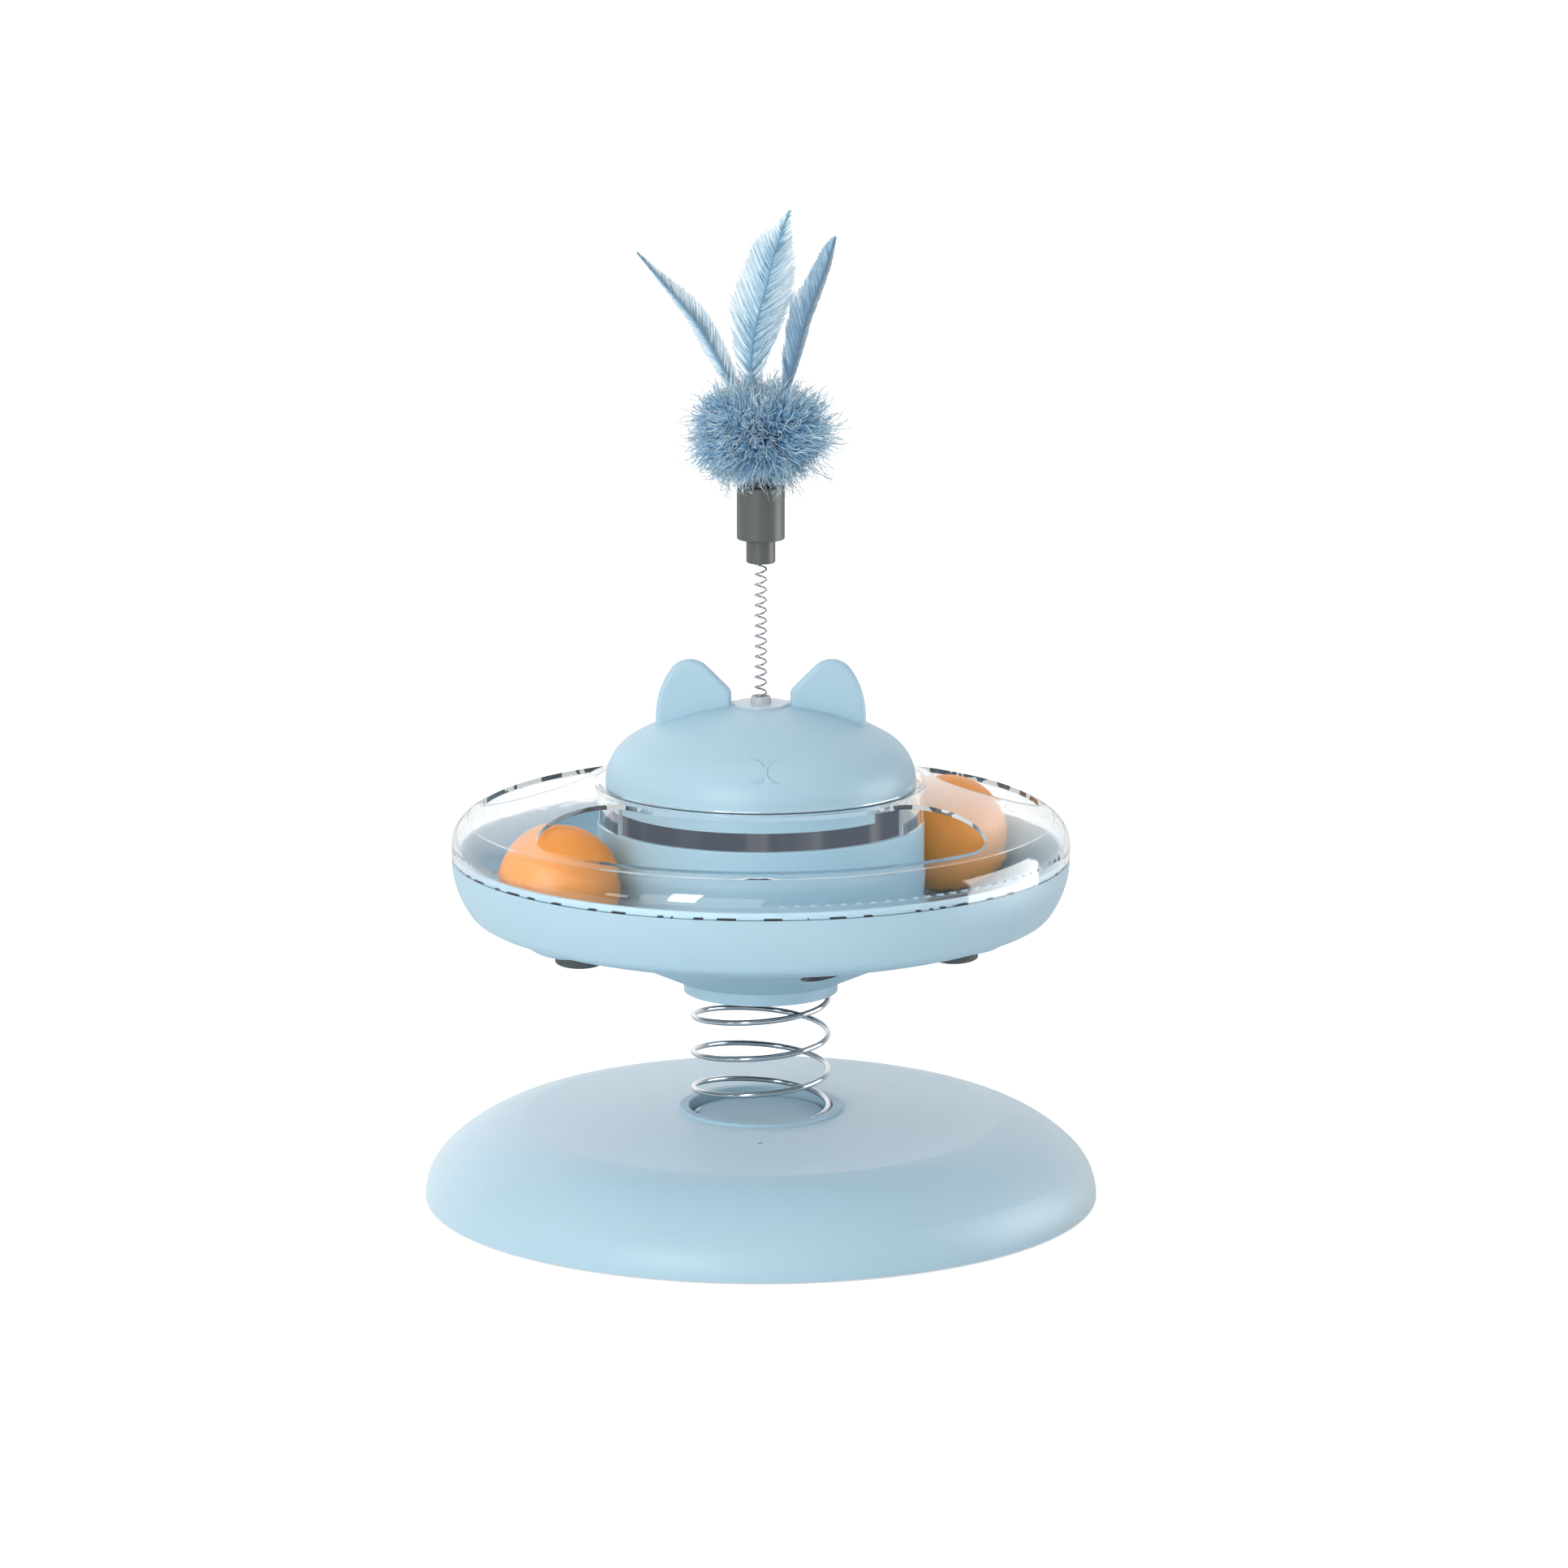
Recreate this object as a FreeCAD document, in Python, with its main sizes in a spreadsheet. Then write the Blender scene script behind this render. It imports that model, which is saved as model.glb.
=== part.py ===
import FreeCAD, Part
import Sketcher
import math
import os
import re

# Cat toy: a saucer with two track balls stands on a coil spring over a heavy base. A cat-head lid with a
# feather wand closes its treat drum. Millimetres, +Z up, origin at the centre of the base's footprint,
# the front is -Y. Azimuths are in degrees from the front towards +X.

doc = FreeCAD.newDocument("track_ball_toy")
sheet = doc.addObject("Spreadsheet::Sheet", "Sizes")

DRIVING_SIZES = [
    ("base_diameter", 210.0, "footprint, given on the photograph"),
    ("base_rise", 26.7, "from the skirt to the crown of the base"),
    ("base_skirt_gap", 0.5, "the skirt stays off the floor, the pads carry"),
    ("base_crown_radius", 74.0, "where the flank meets the almost flat crown"),
    ("base_crown_slope_rise", 2.1, "how much the crown rises to the cup"),
    ("base_wall", 2.2, "moulded wall of the base"),
    ("base_inner_pull", 0.22, "inner corner of the crown ahead of the outer one"),
    ("base_edge_radius", 17.0, "lower round of the flank"),
    ("base_flank_radius", 44.0, "upper round of the flank"),
    ("plate_thickness", 2.4, "bottom plate"),
    ("plate_gap", 0.6, "bottom plate to the skirt"),
    ("pad_radius", 8.0, "anti-slip pad"),
    ("pad_thickness", 1.6, "anti-slip pad"),
    ("pad_circle", 87.0, "pads stand on this radius"),
    ("ballast_outer", 84.0, "steel ballast ring"),
    ("ballast_inner", 32.0, "steel ballast ring"),
    ("ballast_thickness", 2.6, "steel ballast ring"),
    ("ballast_room", 0.6, "air round the bosses in the ballast ring"),
    ("boss_circle", 60.0, "screw bosses of the base"),
    ("boss_radius", 4.0, "screw bosses of the base"),
    ("boss_bore_depth", 12.0, "screw bosses of the base"),
    ("screw_head_height", 1.4, "all screws"),
    ("recess_depth", 0.8, "cross recess of a screw"),
    ("recess_span", 1.1, "cross recess, in head radii"),
    ("recess_slot", 0.3, "width of a cross recess, in head radii"),
    ("base_screw_head", 2.9, "base screw, radius of its head"),
    ("base_screw_shank", 1.45, "base screw, radius of its shank"),
    ("base_screw_length", 11.0, "base screw below its head"),
    ("small_screw_head", 2.4, "clamp screw, radius of its head"),
    ("small_screw_shank", 1.15, "clamp screw, radius of its shank"),
    ("cup_screw_length", 4.6, "cup screw below its head"),
    ("neck_screw_length", 3.4, "neck screw below its head"),
    ("cup_screw_circle", 12.0, "screws of the cup clamp"),
    ("neck_screw_circle", 10.0, "screws of the neck clamp"),
    ("head_room", 0.4, "air round a sunk screw head"),
    ("shank_room", 0.25, "air round a shank in its clearance hole"),
    ("pilot_room", 0.05, "air round a shank in its pilot hole"),
    ("dot_circle", 41.0, "two index dots on the crown"),
    ("dot_radius", 0.9, "index dot"),
    ("dot_level", 1.4, "floor of a dot below the top of the crown"),
    ("wire_diameter", 1.8, "main spring"),
    ("spring_radius", 21.0, "main spring, to the middle of the wire"),
    ("spring_pitch", 12.0, "main spring"),
    ("spring_gap", 38.1, "free space between base crown and neck"),
    ("spring_front_turn", -99.0, "where the wire starts, from +X, in degrees"),
    ("cup_depth", 5.0, "cup floor below the crown"),
    ("cup_rim", 1.1, "rim of the cup above the crown"),
    ("cup_wall", 1.8, "wall of the spring cup"),
    ("cup_bottom", 2.2, "floor of the spring cup"),
    ("cup_flange", 1.4, "flange of the cup on the crown"),
    ("cup_room", 0.3, "air round the cup in the crown"),
    ("rim_round", 0.5, "small rounds of moulded rims"),
    ("hook_width", 6.0, "snap hook of the cup"),
    ("hook_height", 1.9, "snap hook of the cup"),
    ("hook_reach", 1.1, "snap hook outside the cup's wall"),
    ("hook_root", 1.0, "snap hook inside the cup's wall"),
    ("hook_air", 0.1, "snap hook below the crown"),
    ("cup_clamp_height", 3.6, "clamp in the cup"),
    ("neck_clamp_height", 2.2, "clamp in the neck"),
    ("cup_pilot_skin", 0.1, "cover left over the cup clamp's pilot holes"),
    ("neck_pilot_skin", 0.6, "cover left under the neck clamp's pilot holes"),
    ("seat_gap", 0.5, "air between the spring and its seats"),
    ("end_gap", 0.1, "air between the spring's ends and their seats"),
    ("neck_height", 4.3, "neck under the saucer"),
    ("neck_wall", 1.6, "wall of the neck"),
    ("neck_roof", 2.0, "roof of the neck"),
    ("spigot_wall", 2.0, "wall of the neck's spigot"),
    ("thread_fit", 0.2, "air round the spigot"),
    ("nut_height", 4.0, "ring nut"),
    ("nut_width", 4.8, "ring nut, bore to edge"),
    ("nut_notch", 4.0, "notch of the ring nut"),
    ("nut_notch_depth", 1.6, "notch of the ring nut"),
    ("nut_notch_floor", 1.5, "web under a notch of the ring nut"),
    ("spigot_radius", 17.0, "threaded spigot of the neck"),
    ("spigot_height", 7.4, "threaded spigot of the neck"),
    ("bowl_radius", 95.8, "outer radius of the saucer"),
    ("bowl_wall", 1.8, "moulded wall of the bowl"),
    ("seam_over_balls", 2.2, "seam of the saucer above the balls' middle"),
    ("cone_rise", 15.1, "cone of the underside"),
    ("cone_outer", 60.0, "outer end of the cone"),
    ("cone_round", 75.0, "bulge of the cone"),
    ("cone_wall_share", 1.1, "upright thickness of the cone, in walls"),
    ("floor_thickness", 2.3, "channel floor over the cone's outer end"),
    ("land_radius", 26.8, "flat land round the neck"),
    ("land_lip", 1.7, "rounded edge of the land"),
    ("land_lip_rise", 0.8, "rounded edge of the land"),
    ("land_extra", 0.2, "how much thicker the land is than the wall"),
    ("land_inner_lip", 0.4, "inner edge of the land outside the outer one"),
    ("belly_turn_inset", 8.2, "end of the underside from the bowl's edge"),
    ("belly_turn_rise", 5.4, "end of the underside above the cone"),
    ("belly_turn_round", 5.5, "turn of the underside into the side"),
    ("belly_side_inset", 4.7, "foot of the bowl's side from its edge"),
    ("belly_side_rise", 8.1, "foot of the bowl's side above the cone"),
    ("belly_side_round", 28.0, "round of the bowl's side"),
    ("rim_width", 3.1, "seam ledge and tongue of the bowl"),
    ("tongue_height", 2.0, "tongue that the cover slips over"),
    ("tongue_inset", 1.7, "tongue behind the bowl's edge"),
    ("channel_ledge", 1.6, "ledge beside the drum"),
    ("channel_ledge_drop", 0.8, "ledge beside the drum below the channel floor"),
    ("channel_low_inset", 0.65, "lowest line of the channel inside the track"),
    ("channel_floor_round", 36.0, "round of the channel floor"),
    ("channel_turn_inset", 6.8, "foot of the channel's side from the bowl's edge"),
    ("channel_turn_rise", 6.0, "foot of the channel's side above its floor"),
    ("channel_side_round", 24.0, "round of the channel's side"),
    ("channel_top_drop", 2.4, "top of the channel's side below the seam"),
    ("drum_seat_rise", 5.0, "top of the drum's seat above the channel floor"),
    ("drum_fit", 0.3, "air round the drum in its seat"),
    ("ball_radius", 18.7, "track ball"),
    ("ball_wall", 1.5, "wall of the hollow ball"),
    ("ball_front_azimuth", -58.5, "front ball"),
    ("ball_rear_azimuth", 124.3, "rear ball"),
    ("track_gap", 2.35, "air beside a ball on each side"),
    ("ball_clearance", 0.5, "air over and under a ball"),
    ("pod_azimuth", 63.3, "first of three pods under the track"),
    ("pod_circle", 69.0, "middle of the pods"),
    ("pod_radius", 14.0, "pod under the track"),
    ("pod_bulge", 5.4, "pod, half its height"),
    ("pod_lift", 2.5, "middle of a pod above the channel floor"),
    ("foot_radius", 7.6, "bumper foot on a pod"),
    ("foot_circle", 66.0, "bumper feet"),
    ("foot_height", 2.5, "upright side of a bumper foot, partly sunk in its pod"),
    ("foot_dome", 2.0, "domed underside of a bumper foot"),
    ("foot_drop", 4.3, "lower edge of a foot's side below the channel floor"),
    ("foot_fit", 0.1, "air round a foot in its socket"),
    ("outlet_radius", 6.4, "treat outlet"),
    ("outlet_circle", 49.5, "treat outlets"),
    ("outlet_azimuth", 22.0, "first of three treat outlets"),
    ("outlet_length", 22.0, "cutter of a treat outlet, from the bowl's underside"),
    ("drum_wall", 1.8, "wall of the treat drum"),
    ("drum_air", 0.05, "drum floor above the cone"),
    ("hub_margin", 3.4, "hub of the drum outside the land"),
    ("hub_room", 7.4, "roof of the hub above the spigot"),
    ("hub_foot_share", 1.4, "upright thickness of the hub's foot, in walls"),
    ("drum_rise", 10.9, "drum rim above the seam"),
    ("cover_wall", 1.4, "clear cover"),
    ("cover_side", 3.6, "upright side of the cover"),
    ("cover_crown_radius", 130.0, "round of the cover's slope"),
    ("cover_inset", 5.0, "side to slope"),
    ("shoulder_drop", 4.95, "shoulder of the cover below its highest ball room"),
    ("cover_rise", 11.15, "shoulder of the cover to its collar"),
    ("inner_crown_share", 1.02, "upright thickness of the cover at its collar, in walls"),
    ("inner_shoulder_drop", 0.88, "inner shoulder below the outer one, in walls"),
    ("inner_shoulder_inset", 0.48, "inner shoulder inside the outer one, in walls"),
    ("collar_overhang", 0.8, "collar outside the drum"),
    ("collar_room", 1.6, "air round the lid's rim in the collar"),
    ("ledge_air", 0.1, "lid over the collar's ledge, and legs over the drum"),
    ("leg_inset", 0.2, "inner side of the legs inside the drum's wall"),
    ("leg_root", 0.5, "legs inside the collar's ledge"),
    ("window_inner_margin", 4.4, "window to drum"),
    ("window_outer_margin", 7.8, "window to saucer side"),
    ("front_window_half", 59.0, "front window, half its angle"),
    ("rear_window_start", 86.0, "rear windows, start azimuth"),
    ("rear_window_end", 167.0, "rear windows, end azimuth"),
    ("leg_half", 13.0, "leg under a bridge, half its angle"),
    ("window_cut_drop", 20.0, "window cutter below the cover's shoulder"),
    ("window_cut_height", 50.0, "window cutter"),
    ("lid_wall", 2.0, "moulded wall of the lid"),
    ("lid_inset", 2.6, "lid inside the drum's outline"),
    ("lid_sink", 1.2, "rim of the lid below the collar's top"),
    ("lid_height", 23.9, "dome above its rim"),
    ("lid_edge_radius", 15.0, "lower round of the dome"),
    ("lid_rim_height", 1.4, "upright rim of the dome"),
    ("skirt_height", 6.1, "skirt below the dome"),
    ("skirt_wall", 1.8, "skirt below the dome"),
    ("skirt_root", 0.2, "inner corner of the skirt above the lid's rim"),
    ("lid_fit", 0.4, "skirt in the cover's collar"),
    ("notch_azimuth", 62.0, "first of two notches in the skirt"),
    ("notch_width", 21.0, "notch in the skirt"),
    ("notch_cut", 8.0, "notch cutter through the skirt"),
    ("notch_cut_reach", 3.0, "notch cutter outside the skirt"),
    ("ear_centre", 21.8, "middle of an ear's tip from the axis"),
    ("ear_height", 14.4, "ear tip above the dome's apex"),
    ("ear_tip_radius", 7.4, "round tip of an ear"),
    ("ear_side_radius", 25.3, "outer side of an ear"),
    ("ear_foot_radius", 3.0, "inner foot of an ear"),
    ("ear_thickness", 4.0, "ear"),
    ("ear_round", 1.5, "round of an ear's edges"),
    ("ear_gap", 0.6, "ear to the flange of the wand plug"),
    ("flat_radius", 9.0, "flat at the apex"),
    ("plug_radius", 4.0, "barrel of the wand plug"),
    ("plug_flange_radius", 8.5, "flange of the wand plug"),
    ("plug_flange", 0.8, "flange of the wand plug"),
    ("plug_depth", 7.0, "barrel below the apex"),
    ("plug_fit", 0.2, "air round the plug in the apex"),
    ("plug_nut_height", 3.0, "nut of the wand plug"),
    ("plug_nut_width", 3.4, "nut of the wand plug, bore to edge"),
    ("plug_nut_fit", 0.1, "air round the plug in its nut"),
    ("bush_radius", 3.3, "bush round the wand spring"),
    ("bush_height", 2.1, "bush round the wand spring"),
    ("bush_taper", 0.3, "bush round the wand spring"),
    ("wand_wire", 0.56, "wand spring wire"),
    ("wand_radius", 1.72, "wand spring, to the middle of the wire"),
    ("wand_pitch", 3.2, "wand spring"),
    ("wand_free", 41.6, "bare wand spring, bush to ferrule"),
    ("wand_gap", 0.3, "air round the wand spring's ends"),
    ("wand_start", 0.6, "foot of the wand spring above the plug's bottom"),
    ("wand_grip", 6.0, "wand spring inside the ferrule"),
    ("ferrule_radius", 4.5, "ferrule"),
    ("ferrule_height", 7.3, "bare part of the ferrule"),
    ("ferrule_spigot", 11.7, "ferrule inside the sleeve"),
    ("ferrule_bore", 6.6, "bore of the ferrule"),
    ("ferrule_chamfer", 0.4, "foot of the ferrule"),
    ("sleeve_radius", 7.4, "sleeve of the feather head"),
    ("sleeve_height", 16.3, "sleeve of the feather head"),
    ("sleeve_fit", 0.06, "sleeve on the ferrule"),
    ("sleeve_round", 0.6, "foot of the sleeve"),
    ("sleeve_cap", 4.2, "thick upper end of the sleeve"),
    ("quill_plug_radius", 2.9, "plug that holds the quills"),
    ("quill_plug_height", 16.4, "plug that holds the quills"),
    ("quill_plug_grip", 4.0, "quill plug inside the sleeve"),
    ("quill_plug_fit", 0.1, "air round the quill plug in the sleeve"),
    ("fluff_radius", 25.0, "ball of fluff"),
    ("fluff_half_height", 17.4, "ball of fluff"),
    ("fluff_lift", 0.4, "ball of fluff over the sleeve"),
    ("funnel_gap", 0.3, "air between the fluff and the quill plug"),
    ("funnel_start", 1.0, "hollow for the feathers below the quill plug's top"),
    ("funnel_share", 0.8, "hollow for the feathers, in radii of the fluff"),
    ("funnel_spare", 4.0, "cutter of that hollow past the fluff"),
    ("quill_radius", 0.6, "feather quill"),
    ("feather_thickness", 0.8, "feather"),
    ("quill_start", 0.1, "foot of a quill above its plug"),
    ("side_quill_offset", 1.7, "side quills from the middle one"),
    ("side_quill_growth", 1.3, "side quill at the feather's start, in radii of its foot"),
    ("side_quill_bend", 600.0, "bend of a side quill"),
    ("side_feather_bulge", 61.0, "inner edge of a side feather"),
    ("left_feather_lean", 3.0, "left feather forwards, in degrees"),
    ("right_feather_lean", 4.0, "right feather forwards, in degrees"),
    ("middle_feather_lean", -4.5, "middle feather forwards, in degrees"),
    ("left_bare_reach", 7.2, "end of the left feather's bare quill"),
    ("left_bare_rise", 15.6, "end of the left feather's bare quill"),
    ("left_feather_reach", 37.4, "tip of the left feather"),
    ("left_feather_rise", 59.6, "tip of the left feather"),
    ("right_bare_reach", 7.3, "end of the right feather's bare quill"),
    ("right_bare_rise", 15.6, "end of the right feather's bare quill"),
    ("right_feather_reach", 22.8, "tip of the right feather"),
    ("right_feather_rise", 64.8, "tip of the right feather"),
    ("middle_bare_reach", -2.7, "end of the middle feather's bare quill"),
    ("middle_bare_rise", 19.0, "end of the middle feather's bare quill"),
    ("middle_feather_reach", 9.0, "tip of the middle feather"),
    ("middle_feather_rise", 72.4, "tip of the middle feather"),
    ("middle_right_offset", 1.4, "right corner of the middle feather outside its tip"),
    ("middle_right_share", 0.69, "height of that corner, in heights of the feather"),
    ("middle_left_offset", 18.0, "left corner of the middle feather inside its tip"),
    ("middle_left_share", 0.58, "height of that corner, in heights of the feather"),
    ("middle_low_right_round", 42.0, "middle feather, start to right corner"),
    ("middle_high_right_round", 60.0, "middle feather, right corner to tip"),
    ("middle_high_left_round", 55.0, "middle feather, tip to left corner"),
    ("middle_low_left_round", 47.0, "middle feather, left corner to start"),
]

for row, (alias, size, meaning) in enumerate(DRIVING_SIZES, start=1):
    sheet.set("A%d" % row, meaning)
    sheet.set("B%d" % row, str(size))
    sheet.setAlias("B%d" % row, alias)
doc.recompute()
ALIASES = {alias for alias, size, meaning in DRIVING_SIZES}

# Levels and radii that follow from the driving sizes, from the floor up.
BASE_RADIUS = "(base_diameter / 2)"
CROWN_TOP = "(base_skirt_gap + base_rise)"
CROWN_EDGE = "(%s - base_crown_slope_rise)" % CROWN_TOP
PLATE_TOP = "(pad_thickness + plate_thickness)"
SPRING_OUTER = "(spring_radius + wire_diameter / 2)"
SEAT_BORE = "(%s + seat_gap)" % SPRING_OUTER
CUP_OUTER = "(%s + cup_wall)" % SEAT_BORE
CUP_FLOOR = "(%s - cup_depth)" % CROWN_TOP
CLAMP_RADIUS = "(spring_radius - wire_diameter / 2 - seat_gap)"
NECK_BOTTOM = "(%s + spring_gap)" % CROWN_TOP
NECK_TOP = "(%s + neck_height)" % NECK_BOTTOM
NECK_ROOF = "(%s - neck_roof)" % NECK_TOP
NECK_RADIUS = "(%s + neck_wall)" % SEAT_BORE
LAND_TOP = "(%s + bowl_wall + land_extra)" % NECK_TOP
CHANNEL_OUTER = "(bowl_radius - rim_width)"
TRACK_RADIUS = "(%s - track_gap - ball_radius)" % CHANNEL_OUTER
DRUM_RADIUS = "(%s - ball_radius - track_gap)" % TRACK_RADIUS
CONE_TOP = "(%s + cone_rise)" % NECK_TOP
FLOOR_LEVEL = "(%s + floor_thickness)" % CONE_TOP
BALL_LEVEL = "(%s + ball_clearance + ball_radius)" % FLOOR_LEVEL
BALL_TOP = "(%s + ball_radius)" % BALL_LEVEL
SEAM = "(%s + seam_over_balls)" % BALL_LEVEL
DRUM_RIM = "(%s + drum_rise)" % SEAM
COVER_SHOULDER = "(%s + ball_clearance - shoulder_drop)" % BALL_TOP
COVER_CROWN = "(%s + cover_rise)" % COVER_SHOULDER
COLLAR_OUTER = "(%s + collar_overhang)" % DRUM_RADIUS
LID_RADIUS = "(%s - lid_inset)" % DRUM_RADIUS
SKIRT_RADIUS = "(%s - skirt_wall)" % LID_RADIUS
LID_SEAT = "(%s - lid_sink)" % COVER_CROWN
DOME_BASE = "(%s + lid_rim_height)" % LID_SEAT
DOME_INSET = "(%s - lid_edge_radius)" % LID_RADIUS
DOME_RADIUS = ("((%s ^ 2 + lid_height ^ 2 - lid_edge_radius ^ 2) / (2 * (lid_height - lid_edge_radius)))"
               % DOME_INSET)
DOME_CENTRE = "(%s + lid_height - %s)" % (DOME_BASE, DOME_RADIUS)
APEX = "(%s + sqrt(%s ^ 2 - flat_radius ^ 2))" % (DOME_CENTRE, DOME_RADIUS)
APEX_INSIDE = "(%s + sqrt((%s - lid_wall) ^ 2 - flat_radius ^ 2))" % (DOME_CENTRE, DOME_RADIUS)
BUSH_TOP = "(%s + plug_flange + bush_height)" % APEX
FERRULE_BOTTOM = "(%s + wand_free)" % BUSH_TOP
SLEEVE_BOTTOM = "(%s + ferrule_height)" % FERRULE_BOTTOM
SLEEVE_TOP = "(%s + sleeve_height)" % SLEEVE_BOTTOM
QUILL_BOTTOM = "(%s - quill_plug_grip)" % SLEEVE_TOP
QUILL_TOP = "(%s + quill_plug_height)" % QUILL_BOTTOM
WAND_BORE = "(wand_radius + wand_wire / 2 + wand_gap)"
OVERCUT = 1  # cutters run this far past what they cut


def bound(expression):
    """The expression with each named size turned into a reference to its cell."""
    def cell(match):
        word = match.group(0)
        return "Sizes." + word if word in ALIASES else word
    return re.sub(r"[a-z][a-z_0-9]*", cell, str(expression))


def value(expression):
    """Present number of an expression of named sizes."""
    return float(sheet.evalExpression(bound(expression)))


def origin_part(body, role):
    """Origin plane or axis of a body, found by its role."""
    return next(part for part in body.Origin.OriginFeatures if part.Role == role)


def new_body(name):
    body = doc.addObject("PartDesign::Body", name)
    body.Label = name
    return body


def arc_centre(start, end, radius, side):
    """Centre of the minor arc from start to end that turns to the given side."""
    chord = math.dist(start, end)
    reach = math.sqrt(max(radius ** 2 - chord ** 2 / 4, 0.0))
    sign = 1 if side == "left" else -1
    across = sign * (start[1] - end[1]) / chord
    up = sign * (end[0] - start[0]) / chord
    return (start[0] + end[0]) / 2 + across * reach, (start[1] + end[1]) / 2 + up * reach


def outline(body, name, corners, plane="XZ_Plane"):
    """Closed sketch through the corners. A corner is (across, up), or (across, up, radius, side) where
    an arc leaves it that turns to that side. All are expressions of named sizes."""
    sketch = body.newObject("Sketcher::SketchObject", name)
    sketch.AttachmentSupport = (origin_part(body, plane), [""])
    sketch.MapMode = "FlatFace"
    points = [(value(corner[0]), value(corner[1])) for corner in corners]
    ends = []
    for index, corner in enumerate(corners):
        start, end = points[index], points[(index + 1) % len(points)]
        if len(corner) == 2:
            sketch.addGeometry(Part.LineSegment(FreeCAD.Vector(*start, 0), FreeCAD.Vector(*end, 0)), False)
            ends.append((1, 2))
            continue
        radius, side = value(corner[2]), corner[3]
        centre = arc_centre(start, end, radius, side)
        first, last = (start, end) if side == "left" else (end, start)
        angles = [math.atan2(point[1] - centre[1], point[0] - centre[0]) for point in (first, last)]
        circle = Part.Circle(FreeCAD.Vector(*centre, 0), FreeCAD.Vector(0, 0, 1), radius)
        sketch.addGeometry(Part.ArcOfCircle(circle, *angles), False)
        ends.append((1, 2) if side == "left" else (2, 1))
    names = []
    for index, corner in enumerate(corners):
        after = (index + 1) % len(corners)
        sketch.addConstraint(Sketcher.Constraint("Coincident", index, ends[index][1], after, ends[after][0]))
        for kind, axis, expression, place in (("DistanceX", -2, corner[0], points[index][0]),
                                              ("DistanceY", -1, corner[1], points[index][1])):
            if abs(place) < 1e-9:
                sketch.addConstraint(Sketcher.Constraint("PointOnObject", index, ends[index][0], axis))
                continue
            number = sketch.addConstraint(
                Sketcher.Constraint(kind, -1, 1, index, ends[index][0], place))
            names.append((number, "%s%d" % (kind[-1].lower(), index), expression))
        if len(corner) > 2:
            number = sketch.addConstraint(Sketcher.Constraint("Radius", index, value(corner[2])))
            names.append((number, "bend%d" % index, corner[2]))
    for number, label, expression in names:
        sketch.renameConstraint(number, label)
        sketch.setExpression("Constraints." + label, bound(expression))
    return sketch


def turned(name, corners):
    """Body of revolution about the vertical axis."""
    body = new_body(name)
    add_turn(body, name + "_turn", corners)
    return body


def add_turn(body, name, corners, kind="Revolution"):
    sketch = outline(body, name + "_outline", corners)
    feature = body.newObject("PartDesign::" + kind, name)
    feature.Profile = sketch
    feature.ReferenceAxis = (sketch, ["V_Axis"])
    feature.Angle = 360
    sketch.Visibility = False
    return feature


def around(circle, azimuth):
    """Expressions of the place on a circle at an azimuth from the front."""
    return "%s * sin(%s)" % (circle, azimuth), "-%s * cos(%s)" % (circle, azimuth)


def add_solid(body, kind, name, place, turn=None, **sizes):
    """Additive or subtractive primitive at a place of the body."""
    feature = body.newObject("PartDesign::" + kind, name)
    feature.AttachmentSupport = (origin_part(body, "XY_Plane"), [""])
    feature.MapMode = "FlatFace"
    for axis, expression in zip("xyz", place):
        feature.setExpression("AttachmentOffset.Base." + axis, bound(expression))
    if turn is not None:
        feature.setExpression("AttachmentOffset.Rotation.Angle", bound(turn))
    for size, expression in sizes.items():
        feature.setExpression(size, bound(expression))
    return feature


def repeat(body, name, originals, count):
    """The features repeated evenly round the vertical axis."""
    pattern = body.newObject("PartDesign::PolarPattern", name)
    pattern.Originals = originals
    pattern.Axis = (origin_part(body, "Z_Axis"), [""])
    pattern.Angle = 360
    pattern.Occurrences = count
    body.Tip = pattern
    return pattern


def rod(name, radius, height, place, sweep=360, turn=0):
    """Upright cylinder, or a sector of one, as a Part primitive."""
    solid = doc.addObject("Part::Cylinder", name)
    solid.setExpression("Radius", bound(radius))
    solid.setExpression("Height", bound(height))
    solid.setExpression("Angle", bound(sweep))
    for axis, expression in zip("xyz", place):
        solid.setExpression("Placement.Base." + axis, bound(expression))
    solid.setExpression("Placement.Rotation.Angle", bound(turn))
    return solid


def difference(name, base, tool):
    cut = doc.addObject("Part::Cut", name)
    cut.Base = base
    cut.Tool = tool
    return cut


def union(name, shapes):
    fused = doc.addObject("Part::MultiFuse", name)
    fused.Shapes = shapes
    return fused


def screws(name, count, circle, azimuth, seat, size, length, upward):
    """Ring of self-tapping screws of a size. An upward one has its head under its seat, else over it."""
    body = new_body(name)
    body.AllowCompound = True
    head = size + "_screw_head"
    x, y = around(circle, azimuth)
    head_z = "%s - screw_head_height" % seat if upward else seat
    shank_z = seat if upward else "%s - %s" % (seat, length)
    recess_z = head_z if upward else "%s + screw_head_height - recess_depth" % head_z
    parts = [
        add_solid(body, "AdditiveCylinder", name + "_head", (x, y, head_z), Radius=head,
                  Height="screw_head_height"),
        add_solid(body, "AdditiveCylinder", name + "_shank", (x, y, shank_z), Radius=size + "_screw_shank",
                  Height=length),
    ]
    span, slot = "%s * recess_span" % head, "%s * recess_slot" % head
    for label, across, along in (("a", span, slot), ("b", slot, span)):
        corner = ("%s - %s / 2" % (x, across), "%s - %s / 2" % (y, along), recess_z)
        parts.append(add_solid(body, "SubtractiveBox", name + "_recess_" + label, corner,
                               Length=across, Width=along, Height="recess_depth"))
    repeat(body, name + "_ring", parts, count)


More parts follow.
